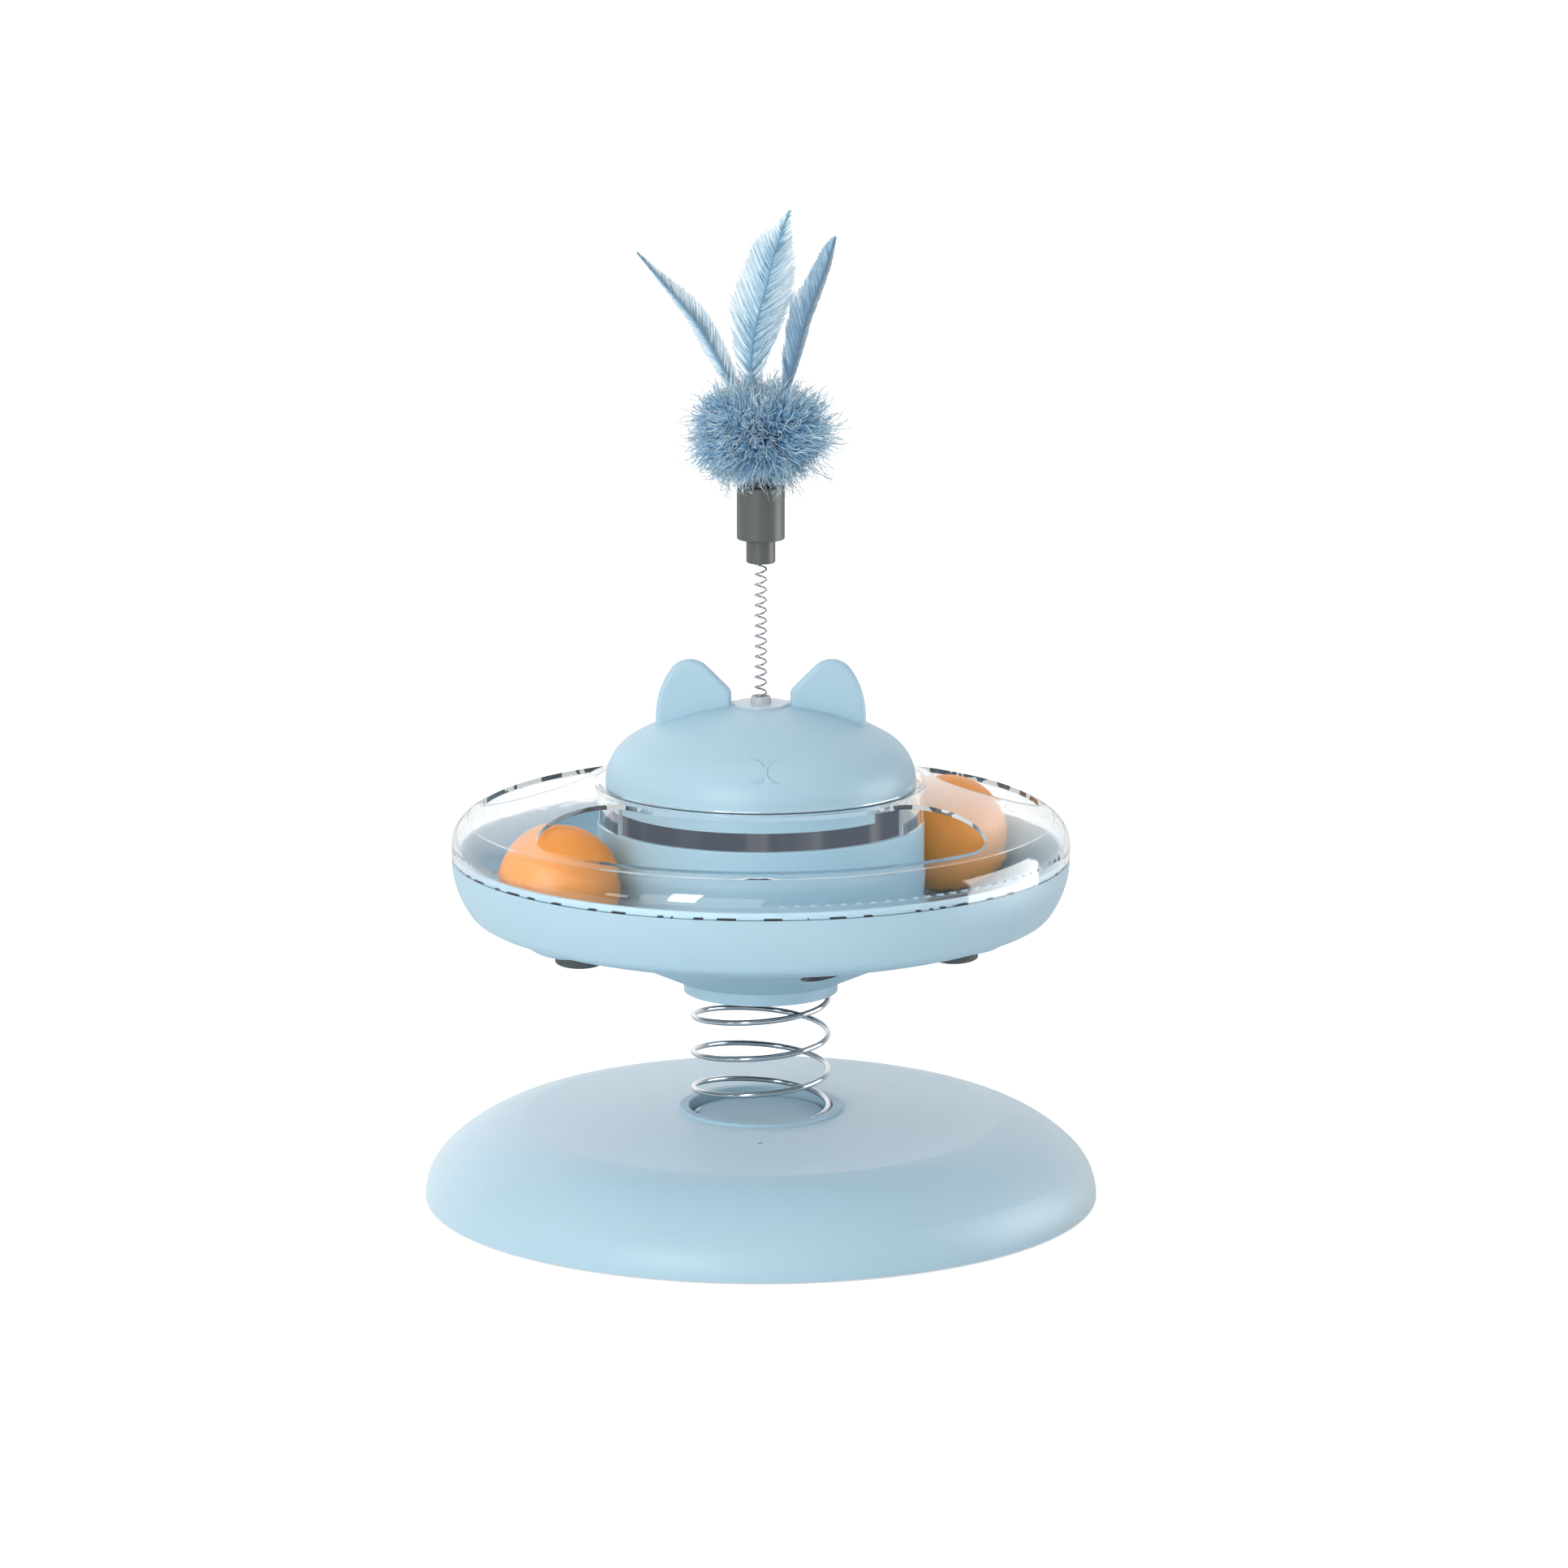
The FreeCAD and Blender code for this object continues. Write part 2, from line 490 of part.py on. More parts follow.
def base_shell():
    """Low dome of the base with a hole for the spring cup, four screw bosses and two index dots."""
    corner_share = math.sqrt(0.5)
    shoulder = ("(%s - base_edge_radius * (1 - %.6f))" % (BASE_RADIUS, corner_share),
                "(base_skirt_gap + base_edge_radius * %.6f)" % corner_share)
    inner_shoulder = ("(%s - base_wall * %.6f)" % (shoulder[0], corner_share),
                      "(%s - base_wall * %.6f)" % (shoulder[1], corner_share))
    hole = "(%s + cup_room)" % CUP_OUTER
    body = turned("base_shell", [
        (BASE_RADIUS, "base_skirt_gap", "base_edge_radius", "left"),
        (*shoulder, "base_flank_radius", "left"),
        ("base_crown_radius", CROWN_EDGE),
        (hole, CROWN_TOP),
        (hole, "%s - base_wall" % CROWN_TOP),
        ("base_crown_radius - base_inner_pull", "%s - base_wall" % CROWN_EDGE,
         "base_flank_radius - base_wall", "right"),
        (*inner_shoulder, "base_edge_radius - base_wall", "right"),
        ("%s - base_wall" % BASE_RADIUS, "base_skirt_gap"),
    ])
    place = around("boss_circle", 45)
    boss = add_solid(body, "AdditiveCylinder", "base_boss", (*place, PLATE_TOP), Radius="boss_radius",
                     Height="%s - base_wall / 2 - %s" % (CROWN_EDGE, PLATE_TOP))
    bore = add_solid(body, "SubtractiveCylinder", "base_boss_bore", (*place, PLATE_TOP),
                     Radius="base_screw_shank + pilot_room", Height="boss_bore_depth")
    repeat(body, "base_bosses", [boss, bore], 4)
    dot = add_solid(body, "SubtractiveCylinder", "base_dot",
                    ("0", "-dot_circle", "%s - dot_level" % CROWN_TOP), Radius="dot_radius",
                    Height="dot_level")
    repeat(body, "base_dots", [dot], 2)


def base_plate():
    """Flat bottom of the base, screwed to the bosses, with sunk seats for the screw heads."""
    edge = "(%s - base_wall - plate_gap)" % BASE_RADIUS
    body = turned("base_plate", [("0", "pad_thickness"), (edge, "pad_thickness"), (edge, PLATE_TOP),
                                 ("0", PLATE_TOP)])
    place = around("boss_circle", 45)
    seat = add_solid(body, "SubtractiveCylinder", "plate_seat", (*place, "0"),
                     Radius="base_screw_head + head_room", Height="pad_thickness + screw_head_height")
    hole = add_solid(body, "SubtractiveCylinder", "plate_hole", (*place, "0"),
                     Radius="base_screw_shank + shank_room", Height="%s + %d" % (PLATE_TOP, OVERCUT))
    repeat(body, "plate_holes", [seat, hole], 4)


def ballast_plate():
    """Steel ring on the bottom plate, which keeps the base down while the saucer rocks."""
    top = "(%s + ballast_thickness)" % PLATE_TOP
    body = turned("ballast_plate", [("ballast_inner", PLATE_TOP), ("ballast_outer", PLATE_TOP),
                                    ("ballast_outer", top), ("ballast_inner", top)])
    hole = add_solid(body, "SubtractiveCylinder", "ballast_hole", (*around("boss_circle", 45), PLATE_TOP),
                     Radius="boss_radius + ballast_room", Height="ballast_thickness")
    repeat(body, "ballast_holes", [hole], 4)


def grip_pads():
    """Ring of six rubber pads under the bottom plate."""
    body = new_body("grip_pads")
    body.AllowCompound = True
    pad = add_solid(body, "AdditiveCylinder", "first_pad", (*around("pad_circle", "0"), "0"),
                    Radius="pad_radius", Height="pad_thickness")
    repeat(body, "pad_ring", [pad], 6)


def saucer_feet():
    """Three domed rubber bumpers, each pressed into a socket in its pod."""
    body = new_body("saucer_feet")
    body.AllowCompound = True
    place = (*around("foot_circle", "pod_azimuth"), "%s - foot_drop" % FLOOR_LEVEL)
    side = add_solid(body, "AdditiveCylinder", "foot_side", place, Radius="foot_radius",
                     Height="foot_height")
    dome = add_solid(body, "AdditiveEllipsoid", "foot_dome_round", place, Radius1="foot_dome",
                     Radius2="foot_radius", Radius3="foot_radius")
    repeat(body, "foot_ring", [side, dome], 3)


def spring_cup():
    """Cup in the middle of the base that holds the lower end of the main spring."""
    rim_top = "(%s + cup_rim)" % CROWN_TOP
    bottom = "(%s - cup_bottom)" % CUP_FLOOR
    flange = "(%s + cup_flange)" % CUP_OUTER
    body = turned("spring_cup", [
        ("0", bottom),
        (CUP_OUTER, bottom),
        (CUP_OUTER, CROWN_TOP),
        (flange, CROWN_TOP),
        (flange, "%s - rim_round" % rim_top, "rim_round", "left"),
        ("%s - rim_round" % flange, rim_top),
        ("%s + rim_round" % SEAT_BORE, rim_top, "rim_round", "left"),
        (SEAT_BORE, "%s - rim_round" % rim_top),
        (SEAT_BORE, CUP_FLOOR),
        ("0", CUP_FLOOR),
    ])
    hook = add_solid(body, "AdditiveBox", "cup_hook",
                     ("-hook_width / 2", "%s - hook_root" % CUP_OUTER,
                      "%s - base_wall - hook_air - hook_height" % CROWN_TOP),
                     Length="hook_width", Width="hook_root + hook_reach", Height="hook_height")
    repeat(body, "cup_hooks", [hook], 3)
    hole = add_solid(body, "SubtractiveCylinder", "cup_hole", (*around("cup_screw_circle", 0), bottom),
                     Radius="small_screw_shank + shank_room", Height="cup_bottom")
    repeat(body, "cup_holes", [hole], 3)


def clamp(name, bottom, height, pilot, circle):
    """Round clamp inside an end coil of the main spring, with pilot holes for its screws."""
    top = "(%s + %s)" % (bottom, height)
    body = turned(name, [("0", bottom), (CLAMP_RADIUS, bottom), (CLAMP_RADIUS, top), ("0", top)])
    hole = add_solid(body, "SubtractiveCylinder", name + "_pilot", (*around(circle, 0), pilot),
                     Radius="small_screw_shank + pilot_room", Height=height)
    repeat(body, name + "_pilots", [hole], 3)


def coil(name, radius, wire, pitch, bottom, height, turn):
    """Round wire swept along a right-handed helix."""
    spine = doc.addObject("Part::Helix", name + "_spine")
    spine.setExpression("Pitch", bound(pitch))
    spine.setExpression("Height", bound(height))
    spine.setExpression("Radius", bound(radius))
    section = doc.addObject("Part::Circle", name + "_section")
    section.setExpression("Radius", bound("%s / 2" % wire))
    section.Placement.Rotation = FreeCAD.Rotation(FreeCAD.Vector(1, 0, 0), 90)
    section.setExpression("Placement.Base.x", bound(radius))
    doc.recompute()
    sweep = doc.addObject("Part::Sweep", name)
    sweep.Label = name
    sweep.Sections = [section]
    sweep.Spine = (spine, ["Edge%d" % (index + 1) for index in range(len(spine.Shape.Edges))])
    sweep.Solid = True
    sweep.Frenet = True
    sweep.setExpression("Placement.Base.z", bound(bottom))
    sweep.setExpression("Placement.Rotation.Angle", bound(turn))
    return sweep


def main_spring():
    """Main spring, in two nodes of one wire so that it can bend and shorten between its two seats."""
    start = "(%s + wire_diameter / 2 + end_gap)" % CUP_FLOOR
    end = "(%s - wire_diameter / 2 - end_gap)" % NECK_ROOF
    half = "((%s - %s) / 2)" % (end, start)
    coil("main_spring_lower", "spring_radius", "wire_diameter", "spring_pitch", start, half,
         "spring_front_turn")
    coil("main_spring_upper", "spring_radius", "wire_diameter", "spring_pitch",
         "%s + %s" % (start, half), half, "spring_front_turn + 360 * %s / spring_pitch" % half)


def neck_socket():
    """Neck under the saucer: a socket for the spring's upper end and a threaded spigot."""
    body = turned("neck_socket", [
        (SEAT_BORE, NECK_BOTTOM),
        (NECK_RADIUS, NECK_BOTTOM),
        (NECK_RADIUS, NECK_TOP),
        ("spigot_radius", NECK_TOP),
        ("spigot_radius", "%s + spigot_height" % NECK_TOP),
        ("spigot_radius - spigot_wall", "%s + spigot_height" % NECK_TOP),
        ("spigot_radius - spigot_wall", NECK_TOP),
        ("0", NECK_TOP),
        ("0", NECK_ROOF),
        (SEAT_BORE, NECK_ROOF),
    ])
    hole = add_solid(body, "SubtractiveCylinder", "neck_hole", (*around("neck_screw_circle", 0), NECK_ROOF),
                     Radius="small_screw_shank + shank_room", Height="neck_roof")
    repeat(body, "neck_holes", [hole], 3)


def socket_lock_nut():
    """Ring nut on the spigot that clamps the bowl to the neck."""
    top = "(%s + nut_height)" % LAND_TOP
    inner = "(spigot_radius + thread_fit)"
    outer = "(%s + nut_width)" % inner
    body = turned("socket_lock_nut", [(inner, LAND_TOP), (outer, LAND_TOP), (outer, top), (inner, top)])
    notch = add_solid(body, "SubtractiveBox", "first_nut_notch",
                      ("%s - nut_notch_depth" % outer, "-nut_notch / 2", "%s + nut_notch_floor" % LAND_TOP),
                      Length="nut_notch", Width="nut_notch", Height="nut_height")
    repeat(body, "nut_notches", [notch], 6)


def track_bowl():
    """Lower half of the saucer: the underside with its cone and pods, the ball channel, the seat of the
    drum and the tongue for the clear cover."""
    tongue = "(bowl_radius - tongue_inset)"
    tongue_top = "(%s + tongue_height)" % SEAM
    above = "(%s + %d)" % (tongue_top, OVERCUT)
    seat = "(%s + drum_fit)" % DRUM_RADIUS
    ledge = "(%s + channel_ledge)" % seat
    seat_top = "(%s + drum_seat_rise)" % FLOOR_LEVEL
    body = turned("track_bowl", [
        ("0", NECK_TOP),
        ("land_radius", NECK_TOP),
        ("land_radius + land_lip", "%s + land_lip_rise" % NECK_TOP),
        ("cone_outer", CONE_TOP, "cone_round", "left"),
        ("bowl_radius - belly_turn_inset", "%s + belly_turn_rise" % CONE_TOP, "belly_turn_round", "left"),
        ("bowl_radius - belly_side_inset", "%s + belly_side_rise" % CONE_TOP, "belly_side_round", "left"),
        ("bowl_radius", SEAM),
        (tongue, SEAM),
        (tongue, tongue_top),
        ("0", tongue_top),
    ])
    pod = add_solid(body, "AdditiveEllipsoid", "pod",
                    (*around("pod_circle", "pod_azimuth"), "%s + pod_lift" % FLOOR_LEVEL),
                    Radius1="pod_bulge", Radius2="pod_radius", Radius3="pod_radius")
    repeat(body, "pods", [pod], 3)
    add_turn(body, "bowl_hollow", [
        ("0", LAND_TOP),
        ("land_radius + land_inner_lip", LAND_TOP),
        (seat, cone_inside(seat)),
        (seat, seat_top),
        (ledge, seat_top),
        (ledge, "%s - channel_ledge_drop" % FLOOR_LEVEL),
        ("%s - channel_low_inset" % TRACK_RADIUS, FLOOR_LEVEL, "channel_floor_round", "left"),
        ("bowl_radius - channel_turn_inset", "%s + channel_turn_rise" % FLOOR_LEVEL, "channel_side_round",
         "left"),
        (CHANNEL_OUTER, "%s - channel_top_drop" % SEAM),
        (CHANNEL_OUTER, above),
        ("0", above),
    ], kind="Groove")
    add_solid(body, "SubtractiveCylinder", "bowl_hole", ("0", "0", "%s - %d" % (NECK_TOP, OVERCUT)),
              Radius="spigot_radius + thread_fit", Height="spigot_height")
    cut_outlets(body, "bowl_outlet")
    socket = add_solid(body, "SubtractiveCylinder", "foot_socket",
                       (*around("foot_circle", "pod_azimuth"),
                        "%s - foot_drop - foot_dome" % FLOOR_LEVEL),
                       Radius="foot_radius + foot_fit", Height="foot_height + foot_dome")
    repeat(body, "foot_sockets", [socket], 3)


def cone_inside(radius):
    """Level of the inner side of the bowl's cone at a radius."""
    start = "(land_radius + land_lip)"
    slope = "((cone_rise - land_lip_rise) / (cone_outer - %s))" % start
    return "(%s + land_lip_rise + (%s - %s) * %s + bowl_wall * cone_wall_share)" % (NECK_TOP, radius, start,
                                                                                     slope)


def cut_outlets(body, name):
    """The three treat outlets through a piece."""
    outlet = add_solid(body, "SubtractiveCylinder", name,
                       (*around("outlet_circle", "outlet_azimuth"), NECK_TOP),
                       Radius="outlet_radius", Height="outlet_length")
    repeat(body, name + "_ring", [outlet], 3)


def treat_drum():
    """Open drum in the middle of the saucer that holds treats; its foot is open at the three outlets."""
    hub = "(land_radius + hub_margin)"
    hub_inside = "(%s + drum_wall)" % hub
    inner = "(%s - drum_wall)" % DRUM_RADIUS
    under_hub, under_wall, under_inner = ["(%s + drum_air)" % cone_inside(radius)
                                          for radius in (hub, DRUM_RADIUS, inner)]
    roof = "(%s + spigot_height + hub_room)" % NECK_TOP
    body = turned("treat_drum", [
        (hub, under_hub),
        (DRUM_RADIUS, under_wall),
        (DRUM_RADIUS, "%s - rim_round" % DRUM_RIM, "rim_round", "left"),
        ("%s - rim_round" % DRUM_RADIUS, DRUM_RIM),
        (inner, DRUM_RIM),
        (inner, "%s + drum_wall" % under_inner),
        (hub_inside, "%s + drum_wall * hub_foot_share" % under_hub),
        (hub_inside, roof),
        ("0", roof),
        ("0", "%s - drum_wall" % roof),
        (hub, "%s - drum_wall" % roof),
    ])
    cut_outlets(body, "drum_outlet")


def clear_cover():
    """Clear upper half of the saucer: a sloping shell with three windows, a collar for the lid and three
    legs that stand on the drum."""
    ledge = "(%s + lid_fit)" % SKIRT_RADIUS
    seat_top = "(%s - ledge_air)" % LID_SEAT
    collar_bore = "(%s + collar_room)" % LID_RADIUS
    side_top = "(%s + cover_side)" % SEAM
    bend = "((cover_inset ^ 2 + (%s - %s) ^ 2) / (2 * cover_inset))" % (COVER_SHOULDER, side_top)
    shell = turned("cover_shell", [
        ("bowl_radius", SEAM),
        ("bowl_radius", side_top, bend, "left"),
        ("bowl_radius - cover_inset", COVER_SHOULDER, "cover_crown_radius", "left"),
        (COLLAR_OUTER, COVER_CROWN),
        (collar_bore, COVER_CROWN),
        (collar_bore, seat_top),
        (ledge, seat_top),
        (ledge, "%s - cover_wall" % seat_top),
        (COLLAR_OUTER, "%s - cover_wall" % seat_top),
        (COLLAR_OUTER, "%s - cover_wall * inner_crown_share" % COVER_CROWN,
         "cover_crown_radius - cover_wall", "right"),
        ("bowl_radius - cover_inset - cover_wall * inner_shoulder_inset",
         "%s - cover_wall * inner_shoulder_drop" % COVER_SHOULDER, "%s - cover_wall" % bend, "right"),
        ("bowl_radius - cover_wall", side_top),
        ("bowl_radius - cover_wall", SEAM),
    ])
    leg_bottom = "(%s + ledge_air)" % DRUM_RIM
    leg_height = "(%s - cover_wall - %s + leg_root)" % (seat_top, leg_bottom)
    leg_ring = difference("leg_ring",
                          rod("leg_ring_outer", "%s - ledge_air" % DRUM_RADIUS, leg_height,
                              ("0", "0", leg_bottom)),
                          rod("leg_ring_inner", "%s - drum_wall + leg_inset" % DRUM_RADIUS, leg_height,
                              ("0", "0", leg_bottom)))
    bridge = "((front_window_half + rear_window_start) / 2)"
    sectors = [rod("leg_sector_%d" % index, DRUM_RADIUS, leg_height, ("0", "0", leg_bottom),
                   "2 * leg_half", "%s - 90 - leg_half" % azimuth)
               for index, azimuth in enumerate((bridge, "180", "(360 - %s)" % bridge))]
    legs = doc.addObject("Part::MultiCommon", "cover_legs")
    legs.Shapes = [leg_ring, union("leg_sectors", sectors)]

    rear_span = "(rear_window_end - rear_window_start)"
    windows = [window("front_window", "-front_window_half", "2 * front_window_half"),
               window("right_window", "rear_window_start", rear_span),
               window("left_window", "-rear_window_end", rear_span)]
    cover = difference("clear_cover", union("cover_with_legs", [shell, legs]),
                       union("cover_windows", windows))
    cover.Label = "clear_cover"


def window(name, start, span):
    """Kidney-shaped cutter with round ends, from an azimuth over a span."""
    inner = "(%s + window_inner_margin)" % DRUM_RADIUS
    outer = "(bowl_radius - window_outer_margin)"
    middle = "((%s + %s) / 2)" % (inner, outer)
    half = "((%s - %s) / 2)" % (outer, inner)
    lead = "(asin(%s / %s) / 1 deg)" % (half, middle)
    low = "(%s - window_cut_drop)" % COVER_SHOULDER
    height = "window_cut_height"
    sector = difference(name + "_sector",
                        rod(name + "_outer", outer, height, ("0", "0", low), "%s - 2 * %s" % (span, lead),
                            "%s + %s - 90" % (start, lead)),
                        rod(name + "_inner", inner, height, ("0", "0", low)))
    ends = [rod("%s_end_%d" % (name, index), half, height, (*around(middle, azimuth), low))
            for index, azimuth in enumerate(("(%s + %s)" % (start, lead),
                                             "(%s + %s - %s)" % (start, span, lead)))]
    return union(name, [sector] + ends)


def lid_dome():
    """Cat-head lid: a domed shell with two ears, a flat apex with a hole, and a notched skirt."""
    skirt_inner = "(%s - skirt_wall)" % SKIRT_RADIUS
    stretch = "(lid_edge_radius / (%s - lid_edge_radius))" % DOME_RADIUS
    inner_stretch = "((lid_edge_radius - lid_wall) / (%s - lid_edge_radius))" % DOME_RADIUS
    rise = "(%s - lid_height)" % DOME_RADIUS
    hole = "(plug_radius + plug_fit)"
    shell = turned("lid_shell", [
        (skirt_inner, "%s - skirt_height" % LID_SEAT),
        (SKIRT_RADIUS, "%s - skirt_height" % LID_SEAT),
        (SKIRT_RADIUS, LID_SEAT),
        (LID_RADIUS, LID_SEAT),
        (LID_RADIUS, DOME_BASE, "lid_edge_radius", "left"),
        ("%s * (1 + %s)" % (DOME_INSET, stretch), "%s + %s * %s" % (DOME_BASE, rise, stretch),
         DOME_RADIUS, "left"),
        ("flat_radius", APEX),
        (hole, APEX),
        (hole, APEX_INSIDE),
        ("flat_radius", APEX_INSIDE, "%s - lid_wall" % DOME_RADIUS, "right"),
        ("%s * (1 + %s)" % (DOME_INSET, inner_stretch),
         "%s + %s * %s" % (DOME_BASE, rise, inner_stretch), "lid_edge_radius - lid_wall", "right"),
        ("%s - lid_wall" % LID_RADIUS, DOME_BASE),
        (skirt_inner, "%s + skirt_root" % LID_SEAT),
    ])
    reach = "(%s + notch_cut_reach)" % SKIRT_RADIUS
    notch = add_solid(shell, "SubtractiveBox", "skirt_notch",
                      ("%s * sin(notch_azimuth) - notch_width / 2 * cos(notch_azimuth)" % reach,
                       "-%s * cos(notch_azimuth) - notch_width / 2 * sin(notch_azimuth)" % reach,
                       "%s - skirt_height - %d" % (LID_SEAT, OVERCUT)),
                      turn="notch_azimuth", Length="notch_width", Width="notch_cut", Height="skirt_height")
    repeat(shell, "skirt_notches", [notch], 2)

    # An ear's tip turns into its outer side at 35 degrees and into its inner side at 45 degrees.
    outer_turn, outer_rise, inner_turn = 0.8192, 0.5736, 0.7071
    outer_x = "(ear_centre + ear_tip_radius * %s)" % outer_turn
    outer_z = "(%s + ear_height - ear_tip_radius * (1 - %s))" % (APEX, outer_rise)
    inner_x = "(ear_centre - ear_tip_radius * %s)" % inner_turn
    inner_z = "(%s + ear_height - ear_tip_radius * (1 - %s))" % (APEX, inner_turn)
    side = "(%s + ear_side_radius * (1 - %s))" % (outer_x, outer_turn)
    root = "(%s - lid_wall / 2)" % DOME_RADIUS
    foot_x = "(plug_flange_radius + ear_gap)"
    foot_bend = "(%s + ear_foot_radius * (1 - %s))" % (foot_x, inner_turn)
    foot_bend_z = "(%s - (%s - %s))" % (inner_z, inner_x, foot_bend)
    ear = new_body("ear_right")
    profile = outline(ear, "ear_outline", [
        (side, "%s + sqrt(%s ^ 2 - %s ^ 2)" % (DOME_CENTRE, root, side)),
        (side, "%s - ear_side_radius * %s" % (outer_z, outer_rise), "ear_side_radius", "left"),
        (outer_x, outer_z, "ear_tip_radius", "left"),
        (inner_x, inner_z),
        (foot_bend, foot_bend_z, "ear_foot_radius", "left"),
        (foot_x, "%s - ear_foot_radius * %s" % (foot_bend_z, inner_turn)),
        (foot_x, "%s + sqrt(%s ^ 2 - %s ^ 2)" % (DOME_CENTRE, root, foot_x), root, "right"),
    ])
    pad = ear.newObject("PartDesign::Pad", "ear_pad")
    pad.Profile = profile
    pad.Midplane = True
    pad.setExpression("Length", bound("ear_thickness"))
    doc.recompute()
    fillet = ear.newObject("PartDesign::Fillet", "ear_round")
    fillet.Base = (pad, ear_edges(pad.Shape))
    fillet.setExpression("Radius", bound("ear_round"))
    ear.Tip = fillet
    mirrored = doc.addObject("Part::Mirroring", "ear_left")
    mirrored.Source = ear
    mirrored.Normal = (1, 0, 0)
    union("lid_dome", [shell, ear, mirrored]).Label = "lid_dome"


def ear_edges(shape):
    """Names of the edges of an ear's front and back faces that lie outside the dome."""
    half = value("ear_thickness") / 2
    centre = FreeCAD.Vector(0, 0, value(DOME_CENTRE))
    names = []
    for number, edge in enumerate(shape.Edges, start=1):
        on_face = all(abs(abs(vertex.Point.y) - half) < 0.01 for vertex in edge.Vertexes)
        middle = edge.valueAt((edge.FirstParameter + edge.LastParameter) / 2)
        through = abs(middle.y) < half - 0.01
        if on_face and not through and (middle - centre).Length > value(DOME_RADIUS):
            names.append("Edge%d" % number)
    return names


def wand_seat():
    """Clear plug through the apex, the nut under it and the bush that guides the wand spring."""
    flange_top = "(%s + plug_flange)" % APEX
    nut_bore = "(plug_radius + plug_nut_fit)"
    nut_edge = "(%s + plug_nut_width)" % nut_bore
    nut_bottom = "(%s - plug_nut_height)" % APEX_INSIDE
    turned("wand_plug", [
        (WAND_BORE, "%s - plug_depth" % APEX),
        ("plug_radius", "%s - plug_depth" % APEX),
        ("plug_radius", APEX),
        ("plug_flange_radius", APEX),
        ("plug_flange_radius", flange_top),
        (WAND_BORE, flange_top),
    ])
    turned("plug_nut", [(nut_bore, nut_bottom), (nut_edge, nut_bottom), (nut_edge, APEX_INSIDE),
                        (nut_bore, APEX_INSIDE)])
    turned("wand_bush", [
        (WAND_BORE, flange_top),
        ("bush_radius", flange_top),
        ("bush_radius - bush_taper", BUSH_TOP),
        (WAND_BORE, BUSH_TOP),
    ])


def wand_spring():
    """Thin coil spring that carries the feather head."""
    start = "(%s - plug_depth + wand_start)" % APEX
    end = "(%s + wand_grip)" % FERRULE_BOTTOM
    coil("wand_spring", "wand_radius", "wand_wire", "wand_pitch", start, "%s - %s" % (end, start), "-90")


def wand_ferrule():
    """Stepped ferrule on the upper end of the wand spring."""
    socket_top = "(%s + ferrule_bore)" % FERRULE_BOTTOM
    top = "(%s + ferrule_spigot)" % SLEEVE_BOTTOM
    turned("wand_ferrule", [
        (WAND_BORE, FERRULE_BOTTOM),
        ("ferrule_radius - ferrule_chamfer", FERRULE_BOTTOM),
        ("ferrule_radius", "%s + ferrule_chamfer" % FERRULE_BOTTOM),
        ("ferrule_radius", top),
        ("0", top),
        ("0", socket_top),
        (WAND_BORE, socket_top),
    ])


def teaser_sleeve():
    """Sleeve of the feather head, which pushes onto the ferrule."""
    bore = "(ferrule_radius + sleeve_fit)"
    quill_bore = "(quill_plug_radius + quill_plug_fit)"
    stop = "(%s - sleeve_cap)" % SLEEVE_TOP
    turned("teaser_sleeve", [
        (bore, SLEEVE_BOTTOM),
        ("sleeve_radius - sleeve_round", SLEEVE_BOTTOM, "sleeve_round", "left"),
        ("sleeve_radius", "%s + sleeve_round" % SLEEVE_BOTTOM),
        ("sleeve_radius", SLEEVE_TOP),
        (quill_bore, SLEEVE_TOP),
        (quill_bore, stop),
        (bore, stop),
    ])


def feather_head():
    """Quill plug, ball of fluff and three feathers."""
    turned("quill_plug", [("0", QUILL_BOTTOM), ("quill_plug_radius", QUILL_BOTTOM),
                          ("quill_plug_radius", QUILL_TOP), ("0", QUILL_TOP)])
    blob = doc.addObject("Part::Ellipsoid", "fluff_blob")
    blob.setExpression("Radius1", bound("fluff_half_height"))
    blob.setExpression("Radius2", bound("fluff_radius"))
    blob.setExpression("Radius3", bound("fluff_radius"))
    blob.setExpression("Placement.Base.z", bound("%s + fluff_lift + fluff_half_height" % SLEEVE_TOP))
    bore = "(quill_plug_radius + funnel_gap)"
    mouth = "(fluff_radius * funnel_share)"
    mouth_level = "(%s + 2 * fluff_half_height)" % SLEEVE_TOP
    funnel = turned("fluff_funnel", [
        ("0", SLEEVE_TOP),
        (bore, SLEEVE_TOP),
        (bore, "%s - funnel_start" % QUILL_TOP),
        (mouth, mouth_level),
        (mouth, "%s + funnel_spare" % mouth_level),
        ("0", "%s + funnel_spare" % mouth_level),
    ])
    pompom = difference("pompom", blob, funnel)
    pompom.Label = "pompom"
    side_feather("feather_left", "left", -1)
    side_feather("feather_right", "right", 1)
    middle_feather("feather_centre")


def side_feather(name, side, sign):
    """Narrow feather with a bulged inner edge, which leans to one side and forwards."""
    root, width = "(side_quill_offset * %d)" % sign, "quill_radius * %d" % sign
    grown = "%s * side_quill_growth" % width
    bare, bare_rise = "(%s_bare_reach * %d)" % (side, sign), "%s_bare_rise" % side
    turn = "left" if sign > 0 else "right"
    plume(name, [
        ("%s + %s" % (root, width), "quill_start"),
        ("%s + %s" % (bare, grown), bare_rise, "side_quill_bend", turn),
        ("%s_feather_reach * %d" % (side, sign), "%s_feather_rise" % side, "side_feather_bulge", turn),
        ("%s - %s" % (bare, grown), bare_rise),
        ("%s - %s" % (root, width), "quill_start"),
    ], side + "_feather_lean")


